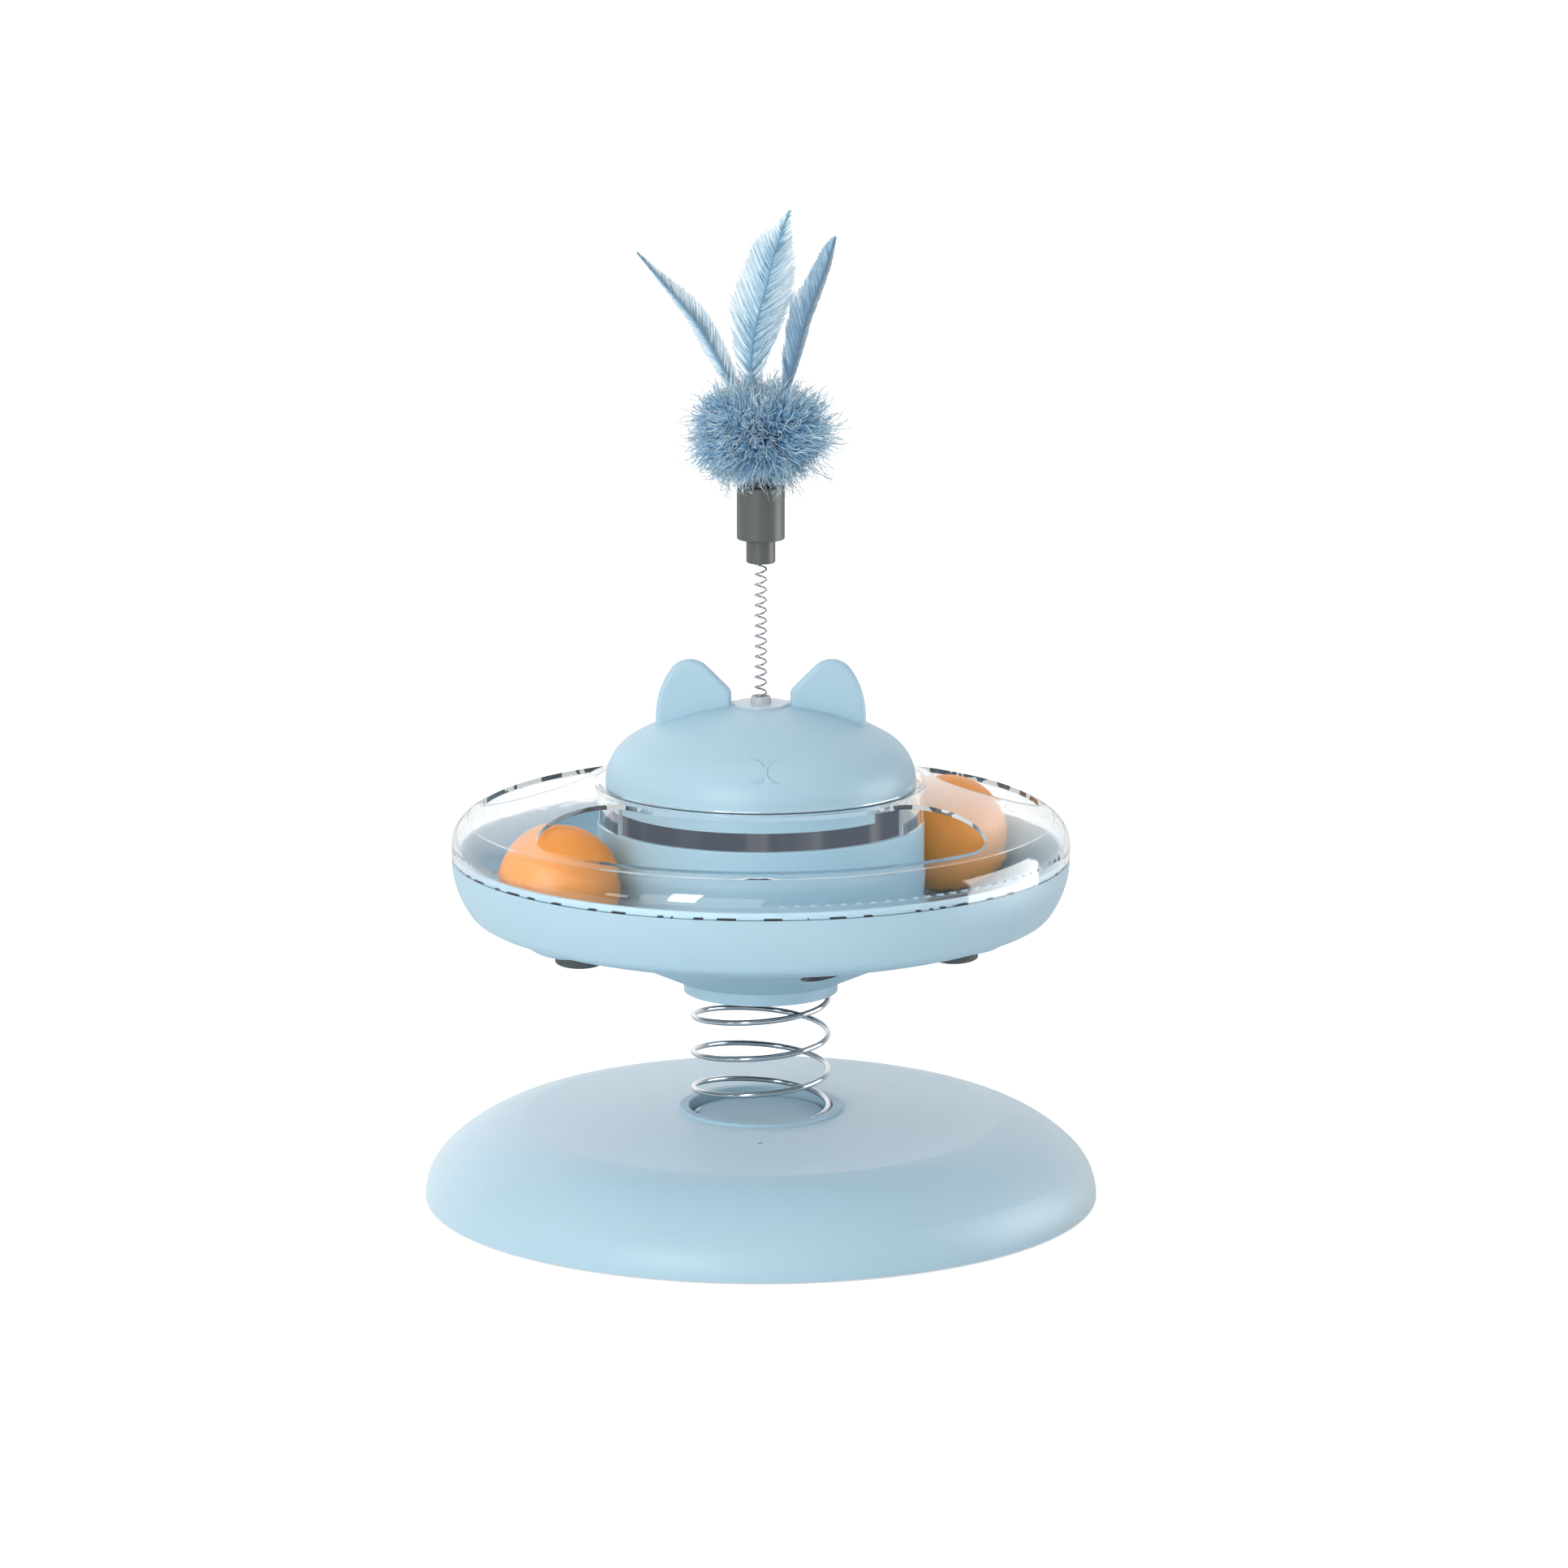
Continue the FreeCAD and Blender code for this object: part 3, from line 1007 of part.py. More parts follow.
def middle_feather(name):
    """Broad feather behind the other two."""
    plume(name, [
        ("quill_radius", "quill_start"),
        ("middle_bare_reach + quill_radius", "middle_bare_rise", "middle_low_right_round", "left"),
        ("middle_feather_reach + middle_right_offset", "middle_feather_rise * middle_right_share",
         "middle_high_right_round", "left"),
        ("middle_feather_reach", "middle_feather_rise", "middle_high_left_round", "left"),
        ("middle_feather_reach - middle_left_offset", "middle_feather_rise * middle_left_share",
         "middle_low_left_round", "left"),
        ("middle_bare_reach - quill_radius", "middle_bare_rise"),
        ("0 - quill_radius", "quill_start"),
    ], "middle_feather_lean")


def plume(name, corners, lean):
    """Flat feather of an outline, leaned fore or aft about the top of the quill plug."""
    body = new_body(name)
    pad = body.newObject("PartDesign::Pad", name + "_pad")
    pad.Profile = outline(body, name + "_outline", corners)
    pad.Midplane = True
    pad.setExpression("Length", bound("feather_thickness"))
    body.Placement = FreeCAD.Placement(FreeCAD.Vector(0, 0, value(QUILL_TOP)),
                                       FreeCAD.Rotation(FreeCAD.Vector(1, 0, 0), value(lean)))
    body.setExpression("Placement.Base.z", bound(QUILL_TOP))


def ball(name, azimuth):
    """Hollow ball on the track."""
    place = (*around(TRACK_RADIUS, azimuth), BALL_LEVEL)
    skins = []
    for label, radius in (("outer", "ball_radius"), ("inner", "ball_radius - ball_wall")):
        skin = doc.addObject("Part::Sphere", "%s_%s" % (name, label))
        skin.setExpression("Radius", bound(radius))
        for axis, expression in zip("xyz", place):
            skin.setExpression("Placement.Base." + axis, bound(expression))
        skins.append(skin)
    hollow = difference(name, *skins)
    hollow.Label = name


base_shell()
base_plate()
ballast_plate()
screws("base_screws", 4, "boss_circle", "45", "(pad_thickness + screw_head_height)", "base",
       "base_screw_length", upward=True)
grip_pads()
spring_cup()
clamp("cup_clamp", CUP_FLOOR, "cup_clamp_height", "%s - cup_pilot_skin" % CUP_FLOOR, "cup_screw_circle")
screws("cup_screws", 3, "cup_screw_circle", "0", "(%s - cup_bottom)" % CUP_FLOOR, "small",
       "cup_screw_length", upward=True)
main_spring()
neck_socket()
clamp("neck_clamp", "(%s - neck_clamp_height)" % NECK_ROOF, "neck_clamp_height",
      "%s - neck_clamp_height + neck_pilot_skin" % NECK_ROOF, "neck_screw_circle")
screws("neck_screws", 3, "neck_screw_circle", "0", NECK_TOP, "small", "neck_screw_length", upward=False)
socket_lock_nut()
track_bowl()
saucer_feet()
treat_drum()
clear_cover()
lid_dome()
wand_seat()
wand_spring()
wand_ferrule()
teaser_sleeve()
feather_head()
ball("ball_front", "ball_front_azimuth")
ball("ball_rear", "ball_rear_azimuth")
doc.recompute()

NODES = [
    "base_shell", "base_plate", "ballast_plate", "base_screws", "grip_pads", "spring_cup", "cup_clamp",
    "cup_screws", "main_spring_lower", "main_spring_upper", "neck_socket", "neck_clamp", "neck_screws",
    "socket_lock_nut", "track_bowl", "saucer_feet", "treat_drum", "clear_cover", "lid_dome", "wand_plug",
    "plug_nut", "wand_bush", "wand_spring", "wand_ferrule", "teaser_sleeve", "quill_plug", "pompom",
    "feather_left", "feather_centre", "feather_right", "ball_front", "ball_rear",
]
for item in doc.Objects:
    if "Invalid" in item.State or "Error" in item.State:
        raise RuntimeError("failed object: %s %s" % (item.Name, item.State))
for node in NODES:
    shape = doc.getObject(node).Shape
    if shape.isNull() or not shape.isValid() or not shape.Solids:
        raise RuntimeError("bad shape: " + node)

os.makedirs("parts", exist_ok=True)
for node in NODES:
    shape = doc.getObject(node).Shape
    shape.exportStep("parts/%s.step" % node)
    box = shape.BoundBox
    print("%-18s %d solid(s) %9.1f mm3  X %.1f..%.1f  Y %.1f..%.1f  Z %.1f..%.1f" % (
        node, len(shape.Solids), shape.Volume, box.XMin, box.XMax, box.YMin, box.YMax, box.ZMin, box.ZMax))
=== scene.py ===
import math

import bpy
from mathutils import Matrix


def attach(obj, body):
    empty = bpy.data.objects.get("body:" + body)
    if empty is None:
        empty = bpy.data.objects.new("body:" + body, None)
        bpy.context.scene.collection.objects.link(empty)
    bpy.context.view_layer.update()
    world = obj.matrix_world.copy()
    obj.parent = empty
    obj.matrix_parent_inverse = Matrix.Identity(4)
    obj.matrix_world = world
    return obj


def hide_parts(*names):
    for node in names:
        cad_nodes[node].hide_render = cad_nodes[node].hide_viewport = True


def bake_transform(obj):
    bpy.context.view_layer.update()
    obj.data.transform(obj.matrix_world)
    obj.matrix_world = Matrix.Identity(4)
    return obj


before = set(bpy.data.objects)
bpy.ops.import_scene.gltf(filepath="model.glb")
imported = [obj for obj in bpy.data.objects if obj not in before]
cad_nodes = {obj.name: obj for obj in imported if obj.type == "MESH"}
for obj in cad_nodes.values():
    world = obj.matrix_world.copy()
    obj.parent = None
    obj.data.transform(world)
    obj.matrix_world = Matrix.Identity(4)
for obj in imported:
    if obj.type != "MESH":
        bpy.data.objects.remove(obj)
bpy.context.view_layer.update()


# The camera stands as in the photograph: 1.84 m in front of the toy, half a metre up and looking
# down a little over 11 degrees, with the toy slightly left of the middle of a square frame.
look_down = 11.42
camera_data = bpy.data.cameras.new("camera")
camera_data.lens = 139.2
camera_data.sensor_width = 36
camera_data.shift_x = 0.0148
camera_data.clip_end = 30
camera = bpy.data.objects.new("camera", camera_data)
camera.location = (0, -1.838, 0.5016)
camera.rotation_euler = (math.radians(90 - look_down), 0, 0)
bpy.context.scene.collection.objects.link(camera)
bpy.context.scene.camera = camera
bpy.context.scene.view_settings.view_transform = "Standard"


# The studio: a white table and a white sweep behind it, with the lamps on the left and a darker
# room on the right and behind the camera. The table stays matt, so that it only takes the toy's
# soft shadow.
def feed(tree, node, inputs):
    """Gives a node its inputs by name or number: plain values, sockets, or nodes, which stand for
    their first output."""
    for key, value in inputs.items():
        if isinstance(key, int):
            socket = node.inputs[key]
        else:
            socket = next(s for s in node.inputs if s.name == key and s.enabled)
        if isinstance(value, bpy.types.Node):
            value = next(s for s in value.outputs if s.enabled)
        if isinstance(value, bpy.types.NodeSocket):
            tree.links.new(value, socket)
        else:
            socket.default_value = value


def add(tree, kind, settings=None, inputs=None):
    """One new node of a tree, with its settings and inputs."""
    node = tree.nodes.new(kind)
    for name, value in (settings or {}).items():
        setattr(node, name, value)
    feed(tree, node, inputs or {})
    return node


def maths(tree, operation, *values):
    """One sum of a node tree."""
    return add(tree, "ShaderNodeMath", {"operation": operation}, dict(enumerate(values)))


def mixed(tree, factor, first, second, kind="FLOAT"):
    """A number between two others, or a colour with the kind RGBA."""
    return add(tree, "ShaderNodeMix", {"data_type": kind},
               {"Factor": factor, "A": first, "B": second})


def ranged(tree, value, low, high, to_low=0.0, to_high=1.0, smooth=False):
    """A value moved from one range to another and held at its ends."""
    return add(tree, "ShaderNodeMapRange",
               {"interpolation_type": "SMOOTHSTEP" if smooth else "LINEAR"},
               {"Value": value, "From Min": low, "From Max": high,
                "To Min": to_low, "To Max": to_high})


def new_material(name):
    """A material with its node tree and its shader."""
    material = bpy.data.materials.new(name)
    material.use_nodes = True
    return material, material.node_tree, material.node_tree.nodes["Principled BSDF"]


# The room lights the toy from the left and from behind. Gloss mirrors a darker front of the room,
# clear plastic has a lighter room behind it, and the camera sees plain white.
world = bpy.data.worlds.new("studio")
bpy.context.scene.world = world
world.use_nodes = True
sky = world.node_tree
direction = add(sky, "ShaderNodeSeparateXYZ", None,
                {0: add(sky, "ShaderNodeTexCoord").outputs["Generated"]}).outputs
side_light = ranged(sky, direction["X"], -1.0, 1.0, 0.80, 0.44)
sweep_light = ranged(sky, direction["Y"], -0.2, 0.8, 0.0, 0.4, smooth=True)
room_light = maths(sky, "ADD", side_light, sweep_light)
mirrored_sweep = ranged(sky, direction["Y"], 0.3, 0.95, 0.18, 1.25, smooth=True)
mirrored_side = ranged(sky, direction["X"], -0.6, 0.6, 1.1, 0.8)
mirrored_room = maths(sky, "MULTIPLY", mirrored_sweep, mirrored_side)
room_through_glass = maths(sky, "MINIMUM",
                           maths(sky, "MULTIPLY_ADD", mirrored_room, 0.5, 0.5), 1.0)
ray = add(sky, "ShaderNodeLightPath").outputs
room = mixed(sky, ray["Is Glossy Ray"], room_light, mirrored_room)
room = mixed(sky, ray["Is Transmission Ray"], room, room_through_glass)
room = mixed(sky, ray["Is Camera Ray"], room, 1.0)
feed(sky, sky.nodes["Background"], {"Color": (1, 1, 1, 1), "Strength": room})

# The table glows only where the camera sees it, straight or through the cover, so that it is as
# white as the sweep.
bpy.ops.mesh.primitive_circle_add(vertices=96, radius=12, fill_type="NGON")
table = bpy.context.object
table.name = "table"
table_paint, tree, shader = new_material("white_table")
ray = add(tree, "ShaderNodeLightPath").outputs
seen = maths(tree, "MAXIMUM", ray["Is Camera Ray"], ray["Is Transmission Ray"])
feed(tree, shader, {"Base Color": (0.88, 0.88, 0.88, 1), "Roughness": 1.0,
                    "Specular IOR Level": 0.0, "Emission Color": (1, 1, 1, 1),
                    "Emission Strength": maths(tree, "MULTIPLY", seen, 0.5)})
table.data.materials.append(table_paint)

# Lamps with flat diffusers that face the toy's middle. Azimuth 0 is the camera's side and 90 its
# right. Each lamp only lights the toy, or only shows in its gloss.
toy_middle = 0.12
for name, azimuth, elevation, distance, width, height, brightness, purpose in (
        ("front_fill", -22, 8, 2.0, 1.6, 1.2, 3.15, "light"),
        ("left_panel", -98, 22, 1.3, 1.0, 1.0, 0.65, "light"),
        ("right_fill", 98, 10, 1.3, 0.9, 0.7, 0.15, "light"),
        ("top_panel", 0, 80, 1.6, 1.6, 1.2, 0.75, "light"),
        ("key_strip", -28, 18, 1.9, 0.34, 0.95, 10.0, "gloss"),
        ("left_strip", -53, 8, 1.9, 0.28, 0.30, 3.0, "gloss"),
        ("right_panel", 92, 0, 0.34, 0.24, 0.225, 4.0, "gloss")):
    a, e = math.radians(azimuth), math.radians(elevation)
    diffuser = bpy.data.lights.new(name, "AREA")
    diffuser.shape = "RECTANGLE"
    diffuser.size, diffuser.size_y = width, height
    diffuser.energy = brightness * math.pi * width * height
    lamp = bpy.data.objects.new(name, diffuser)
    lamp.location = (distance * math.sin(a) * math.cos(e), -distance * math.cos(a) * math.cos(e),
                     toy_middle + distance * math.sin(e))
    lamp.rotation_euler = (math.radians(90) - e, 0, a)
    lamp.visible_camera = False
    lamp.visible_glossy = purpose == "gloss"
    lamp.visible_diffuse = purpose == "light"
    bpy.context.scene.collection.objects.link(lamp)


# Base: a low dome of pale blue injection-moulded ABS with a fine matt grain, a dark bottom plate
# with a steel ballast ring on it, four steel screws and six rubber pads under the plate.
def colour(hex_code):
    """A colour written as on a colour chart, in the shader's linear values."""
    channels = [int(hex_code[i:i + 2], 16) / 255 for i in (0, 2, 4)]
    linear = [c / 12.92 if c <= 0.04045 else ((c + 0.055) / 1.055) ** 2.4 for c in channels]
    return (*linear, 1.0)


def group_tree(name, kind, inputs, outputs):
    """An empty node group with its inputs, given as (name, socket type, value), and with the node
    that takes its outputs."""
    tree = bpy.data.node_groups.new(name, kind)
    for label, socket_type, value in inputs:
        socket = tree.interface.new_socket(label, in_out="INPUT",
                                           socket_type="NodeSocket" + socket_type)
        if value is not None:
            socket.default_value = value
    for label, socket_type in outputs:
        tree.interface.new_socket(label, in_out="OUTPUT", socket_type="NodeSocket" + socket_type)
    return tree, tree.nodes.new("NodeGroupInput").outputs, tree.nodes.new("NodeGroupOutput")


def noise(tree, where, scale, detail, **more):
    """The value of a noise texture."""
    return add(tree, "ShaderNodeTexNoise", None,
               {"Vector": where, "Scale": scale, "Detail": detail, **more}).outputs[0]


def vectors(tree, operation, *values):
    """One sum of vectors. SCALE takes a vector and a plain factor."""
    keys = (0, "Scale") if operation == "SCALE" else range(len(values))
    return add(tree, "ShaderNodeVectorMath", {"operation": operation}, dict(zip(keys, values)))


moulded_grain, given, made = group_tree(
    "moulded_grain", "ShaderNodeTree",
    [("Colour", "Color", (0.5, 0.5, 0.5, 1)), ("Cloudiness", "Float", 0.04),
     ("Grain", "Float", 1500.0), ("Roughness", "Float", 0.45), ("Roughness spread", "Float", 0.06)],
    [("Colour", "Color"), ("Roughness", "Float"), ("Height", "Float")])
where = add(moulded_grain, "ShaderNodeTexCoord").outputs["Object"]
clouds = noise(moulded_grain, where, 22.0, 3.0)
flow = noise(moulded_grain, where, 160.0, 4.0, Distortion=0.6)
spark = noise(moulded_grain, where, given["Grain"], 2.0, Roughness=0.6)
shade = maths(moulded_grain, "MULTIPLY_ADD", clouds,
              maths(moulded_grain, "MULTIPLY", given["Cloudiness"], 2.0), 1.0)
shade = maths(moulded_grain, "SUBTRACT", shade, given["Cloudiness"])
roughness = maths(moulded_grain, "MULTIPLY_ADD", maths(moulded_grain, "SUBTRACT", flow, 0.5),
                  maths(moulded_grain, "MULTIPLY", given["Roughness spread"], 2.0),
                  given["Roughness"])
feed(moulded_grain, made, {"Colour": vectors(moulded_grain, "SCALE", given["Colour"], shade),
                           "Roughness": roughness,
                           "Height": maths(moulded_grain, "MULTIPLY_ADD", flow, 0.35, spark)})


def moulded(name, chart_colour, roughness, grain=1500.0, relief=0.04, cloudiness=0.03,
            spread=0.06, metal=0.0, sheen=0.0):
    """A moulded plastic, rubber or plain metal: its colour, how matt it is, and the fine texture
    of its mould, with the relief in millimetres."""
    material, tree, shader = new_material(name)
    skin = add(tree, "ShaderNodeGroup", {"node_tree": moulded_grain},
               {"Colour": colour(chart_colour), "Cloudiness": cloudiness, "Grain": grain,
                "Roughness": roughness, "Roughness spread": spread}).outputs
    bump = add(tree, "ShaderNodeBump", None,
               {"Strength": 1.0, "Distance": relief / 1000, "Height": skin["Height"]})
    feed(tree, shader, {"Base Color": skin["Colour"], "Roughness": skin["Roughness"],
                        "Normal": bump, "Metallic": metal, "Sheen Weight": sheen})
    return material


def cover_with(material, *names):
    """Gives a material to CAD pieces, which keep their own shape."""
    for name in names:
        cad_nodes[name].material_slots[0].material = material


pale_blue_abs = {"chart_colour": "ACCCDC", "roughness": 0.42}
pale_blue = moulded("pale_blue_abs", **pale_blue_abs)
base_plastic = moulded("base_abs", **pale_blue_abs, sheen=0.6)
dark_abs = moulded("dark_abs", "43484F", 0.55, relief=0.05)
ballast = moulded("rolled_steel", "8D9196", 0.38, grain=900.0, relief=0.02, spread=0.12, metal=1.0)
screw_steel = moulded("zinc_plated_steel", "C9CCD0", 0.28, grain=2500.0, relief=0.01, metal=1.0)
pad_rubber = moulded("pad_rubber", "5B6066", 0.85, grain=1100.0, relief=0.08)
cover_with(base_plastic, "base_shell")
cover_with(dark_abs, "base_plate")
cover_with(ballast, "ballast_plate")
cover_with(screw_steel, "base_screws")
cover_with(pad_rubber, "grip_pads")


# Spring cup: the raised ring in the middle of the base, with a clamp and three screws that hold
# the spring's lowest coil in it.
cover_with(pale_blue, "spring_cup", "cup_clamp")
cover_with(screw_steel, "cup_screws")


# Main spring: 1.8 mm drawn and chromed steel wire, wound right-handed with a closed coil at each
# end. It is cut where the joints bend it.
def combined(tree, **axes):
    """A vector from its X, Y and Z."""
    return add(tree, "ShaderNodeCombineXYZ", None, axes)


coil_tree, given, made = group_tree(
    "coil_of_wire", "GeometryNodeTree",
    [("Coil radius", "Float", 0.021), ("Wire radius", "Float", 0.0009), ("Bottom", "Float", 0.0),
     ("Height", "Float", 0.04), ("First angle", "Float", 0.0), ("Turns", "Float", 4.0),
     ("Closed turns", "Float", 1.0), ("Closed height", "Float", 0.0018), ("From", "Float", 0.0),
     ("To", "Float", 1.0), ("Points", "Int", 200), ("Steel", "Material", None)],
    [("Geometry", "Geometry")])
coil_tree.is_modifier = True
line = add(coil_tree, "GeometryNodeCurvePrimitiveLine", None,
           {"Start": (0, 0, 0), "End": (0, 0, 1)})
line = add(coil_tree, "GeometryNodeResampleCurve", None, {"Curve": line, "Count": given["Points"]})
share = add(coil_tree, "GeometryNodeSplineParameter").outputs["Factor"]
along = ranged(coil_tree, share, 0.0, 1.0, given["From"], given["To"])
turn = maths(coil_tree, "MULTIPLY", along, given["Turns"])
angle = maths(coil_tree, "MULTIPLY_ADD", turn, 2 * math.pi, given["First angle"])
last_open_turn = maths(coil_tree, "SUBTRACT", given["Turns"], given["Closed turns"])
open_bottom = maths(coil_tree, "ADD", given["Bottom"], given["Closed height"])
top = maths(coil_tree, "ADD", given["Bottom"], given["Height"])
open_top = maths(coil_tree, "SUBTRACT", top, given["Closed height"])
closed_foot = ranged(coil_tree, turn, 0.0, given["Closed turns"], given["Bottom"], open_bottom)
open_part = ranged(coil_tree, turn, given["Closed turns"], last_open_turn,
                   0.0, maths(coil_tree, "SUBTRACT", open_top, open_bottom))
closed_head = ranged(coil_tree, turn, last_open_turn, given["Turns"], 0.0, given["Closed height"])
level = maths(coil_tree, "ADD", maths(coil_tree, "ADD", closed_foot, open_part), closed_head)
around_x = maths(coil_tree, "MULTIPLY", maths(coil_tree, "COSINE", angle), given["Coil radius"])
around_y = maths(coil_tree, "MULTIPLY", maths(coil_tree, "SINE", angle), given["Coil radius"])
helix = add(coil_tree, "GeometryNodeSetPosition", None,
            {"Geometry": line, "Position": combined(coil_tree, X=around_x, Y=around_y, Z=level)})
wire_section = add(coil_tree, "GeometryNodeCurvePrimitiveCircle", None,
                   {"Resolution": 14, "Radius": given["Wire radius"]}).outputs["Curve"]
wire = add(coil_tree, "GeometryNodeCurveToMesh", None,
           {"Curve": helix, "Profile Curve": wire_section, "Fill Caps": True})
wire = add(coil_tree, "GeometryNodeRealizeInstances", None, {"Geometry": wire})
wire = add(coil_tree, "GeometryNodeSetMaterial", None,
           {"Geometry": wire, "Material": given["Steel"]})
feed(coil_tree, made, {"Geometry": wire})


def grown(name, tree, seed_mesh=None, **values):
    """The plain mesh that a Geometry Nodes tree makes from these inputs."""
    mesh = seed_mesh or bpy.data.meshes.new(name + "_seed")
    maker = bpy.data.objects.new(name + "_maker", mesh)
    bpy.context.scene.collection.objects.link(maker)
    modifier = maker.modifiers.new("make", "NODES")
    modifier.node_group = tree
    sockets = {s.name: s.identifier for s in tree.interface.items_tree if s.in_out == "INPUT"}
    for label, value in values.items():
        modifier[sockets[label.replace("_", " ")]] = value
    maker.update_tag()
    graph = bpy.context.evaluated_depsgraph_get()
    result = bpy.data.meshes.new_from_object(maker.evaluated_get(graph), depsgraph=graph)
    result.name = name
    result.shade_smooth()
    bpy.data.objects.remove(maker)
    piece = bpy.data.objects.new(name, result)
    bpy.context.scene.collection.objects.link(piece)
    return piece


def drawn_steel(name, chart_colour, roughness):
    """Bright drawn wire, with faint streaks left by the die and slightly uneven plating."""
    material, tree, shader = new_material(name)
    where = add(tree, "ShaderNodeTexCoord").outputs["Object"]
    plating = noise(tree, where, 260.0, 4.0)
    bright = colour(chart_colour)
    dull = [0.78 * c for c in bright[:3]] + [1]
    die_lines = noise(tree, where, 3200.0, 2.0)
    feed(tree, shader, {
        "Base Color": mixed(tree, plating, dull, bright, "RGBA"),
        "Roughness": ranged(tree, plating, 0.3, 0.7, roughness, roughness + 0.1),
        "Normal": add(tree, "ShaderNodeBump", None, {"Distance": 0.000006, "Height": die_lines}),
        "Metallic": 1.0})
    return material


chrome_wire = drawn_steel("chromed_spring_wire", "D8DBDF", 0.09)
spring_turns = 1968 / 360
spring_points = 480
for name, first, last, lower_body, upper_body, low, high, stands_for in (
        ("main_spring_foot", 0.0, 0.439, "base", "spring_lower", 0.0250, 0.0400,
         ["main_spring_lower"]),
        ("main_spring_waist", 0.439, 0.6296, "spring_lower", "spring_upper", 0.0400, 0.0525,
         ["main_spring_lower", "main_spring_upper"]),
        ("main_spring_neck", 0.6296, 1.0, "spring_upper", "saucer", 0.0525, 0.0640,
         ["main_spring_upper"])):
    stretch = grown(name, coil_tree, Coil_radius=0.021, Wire_radius=0.0009, Bottom=0.0231,
                    Height=0.0435, First_angle=math.radians(-459), Turns=spring_turns,
                    Closed_turns=1.0, Closed_height=0.0018, From=first, To=last,
                    Points=int(spring_points * (last - first)), Steel=chrome_wire)
    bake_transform(stretch)
    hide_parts(*stands_for)


# Neck: the light ring under the saucer that holds the spring's highest coil, with a clamp and
# three screws inside it and a lock nut above the bowl's floor.
cover_with(pale_blue, "neck_socket", "socket_lock_nut")
cover_with(dark_abs, "neck_clamp")
cover_with(screw_steel, "neck_screws")


# Saucer: the track bowl and the treat drum are the same pale blue ABS. The drum's inside, seen over
# its rim, is painted with shade and streaks of painted reflection, the treat outlets are painted
# with shade, and three dark rubber bumpers are pressed into the pods under the bowl.
def placed(tree):
    """A point's place, its X, Y and Z, and its place seen along the toy's upright axis."""
    where = add(tree, "ShaderNodeTexCoord").outputs["Object"]
    place = add(tree, "ShaderNodeSeparateXYZ", None, {0: where}).outputs
    return where, place, combined(tree, X=place["X"], Y=place["Y"])


def product(tree, *values):
    """Several values or masks multiplied."""
    result = values[0]
    for value in values[1:]:
        result = maths(tree, "MULTIPLY", result, value)
    return result


outlet_top = 0.0895
outlet_radius = 0.0065
outlets_from_axis = 0.0495
drum_inside_radius = 0.0492
treat_outlets, _, made = group_tree("treat_outlets", "ShaderNodeTree", [], [("Mask", "Float")])
_, place, flat_place = placed(treat_outlets)
nearest = 1.0
for azimuth in (22, 142, 262):
    axis = (outlets_from_axis * math.sin(math.radians(azimuth)),
            -outlets_from_axis * math.cos(math.radians(azimuth)), 0)
    nearest = maths(treat_outlets, "MINIMUM",
                    vectors(treat_outlets, "DISTANCE", flat_place, axis), nearest)
feed(treat_outlets, made,
     {"Mask": product(treat_outlets, maths(treat_outlets, "LESS_THAN", place["Z"], outlet_top),
                      maths(treat_outlets, "LESS_THAN", nearest, outlet_radius))})


def repaint(material, mask, paint):
    """Lays another colour over part of a moulded skin."""
    tree = material.node_tree
    shader = tree.nodes["Principled BSDF"]
    skin = shader.inputs["Base Color"].links[0].from_socket
    feed(tree, shader, {"Base Color": mixed(tree, mask, skin, paint, "RGBA")})


def paint_shade_in_outlets(material):
    """Paints the inside of the treat outlets dark, as painted shade in the holes."""
    mask = add(material.node_tree, "ShaderNodeGroup", {"node_tree": treat_outlets}).outputs["Mask"]
    repaint(material, mask, colour("303A46"))


bowl_plastic = moulded("bowl_abs", **pale_blue_abs)
paint_shade_in_outlets(bowl_plastic)
drum_plastic = moulded("drum_abs", **pale_blue_abs)
tree = drum_plastic.node_tree
_, _, flat_place = placed(tree)
# The drum's inside is painted with shade, a grey over the pale blue, and with streaks of painted
# reflection from the cover's collar.
painted_inside = maths(tree, "LESS_THAN", vectors(tree, "LENGTH", flat_place), drum_inside_radius)
painted_reflection_streaks = ranged(tree, noise(tree, flat_place, 95.0, 1.0), 0.45, 0.75, smooth=True)
painted_shade_inside = mixed(tree, painted_reflection_streaks, colour("929AA6"), colour("DAD6DA"), "RGBA")
repaint(drum_plastic, painted_inside, painted_shade_inside)

# The glow stands for the light that the real drum's inside gets through its thin wall.
feed(tree, tree.nodes["Principled BSDF"],
     {"Emission Color": mixed(tree, painted_inside, (0, 0, 0, 1), painted_shade_inside, "RGBA"),
      "Emission Strength": 0.15})
paint_shade_in_outlets(drum_plastic)
foot_rubber = moulded("foot_rubber", "4C5154", 0.7, grain=1200.0, relief=0.06)
cover_with(bowl_plastic, "track_bowl")
cover_with(drum_plastic, "treat_drum")
cover_with(foot_rubber, "saucer_feet")


# Cover: the clear polystyrene upper half of the saucer, 1.4 mm thick, with three windows for a
# paw. It is polished, with the faintest ripple from the mould. Its windows' edges and its legs'
# sides carry painted reflections of the room, dark with light glints, and its seam has painted
# dashes of shade, none of it where they are seen from within the plastic.
seam_top = 0.1090
window_bottom = 0.1125
window_inner_radius = 0.0535
leg_outer_radius = 0.0515
steepest_upright = 0.05
leg_side_turn = 0.4
outer_face_turn = 0.5
glint_level = 0.54
painted_edge_shade = (0.02, 0.025, 0.03, 1)
clear, tree, glass = new_material("clear_polystyrene")
where, place, flat_place = placed(tree)
from_axis = vectors(tree, "LENGTH", flat_place)
surface = add(tree, "ShaderNodeNewGeometry").outputs
slope = add(tree, "ShaderNodeSeparateXYZ", None, {0: surface["True Normal"]}).outputs["Z"]
outwards = vectors(tree, "DOT_PRODUCT", surface["True Normal"],
                   vectors(tree, "NORMALIZE", flat_place))
upright_face = maths(tree, "LESS_THAN", maths(tree, "ABSOLUTE", slope), steepest_upright)
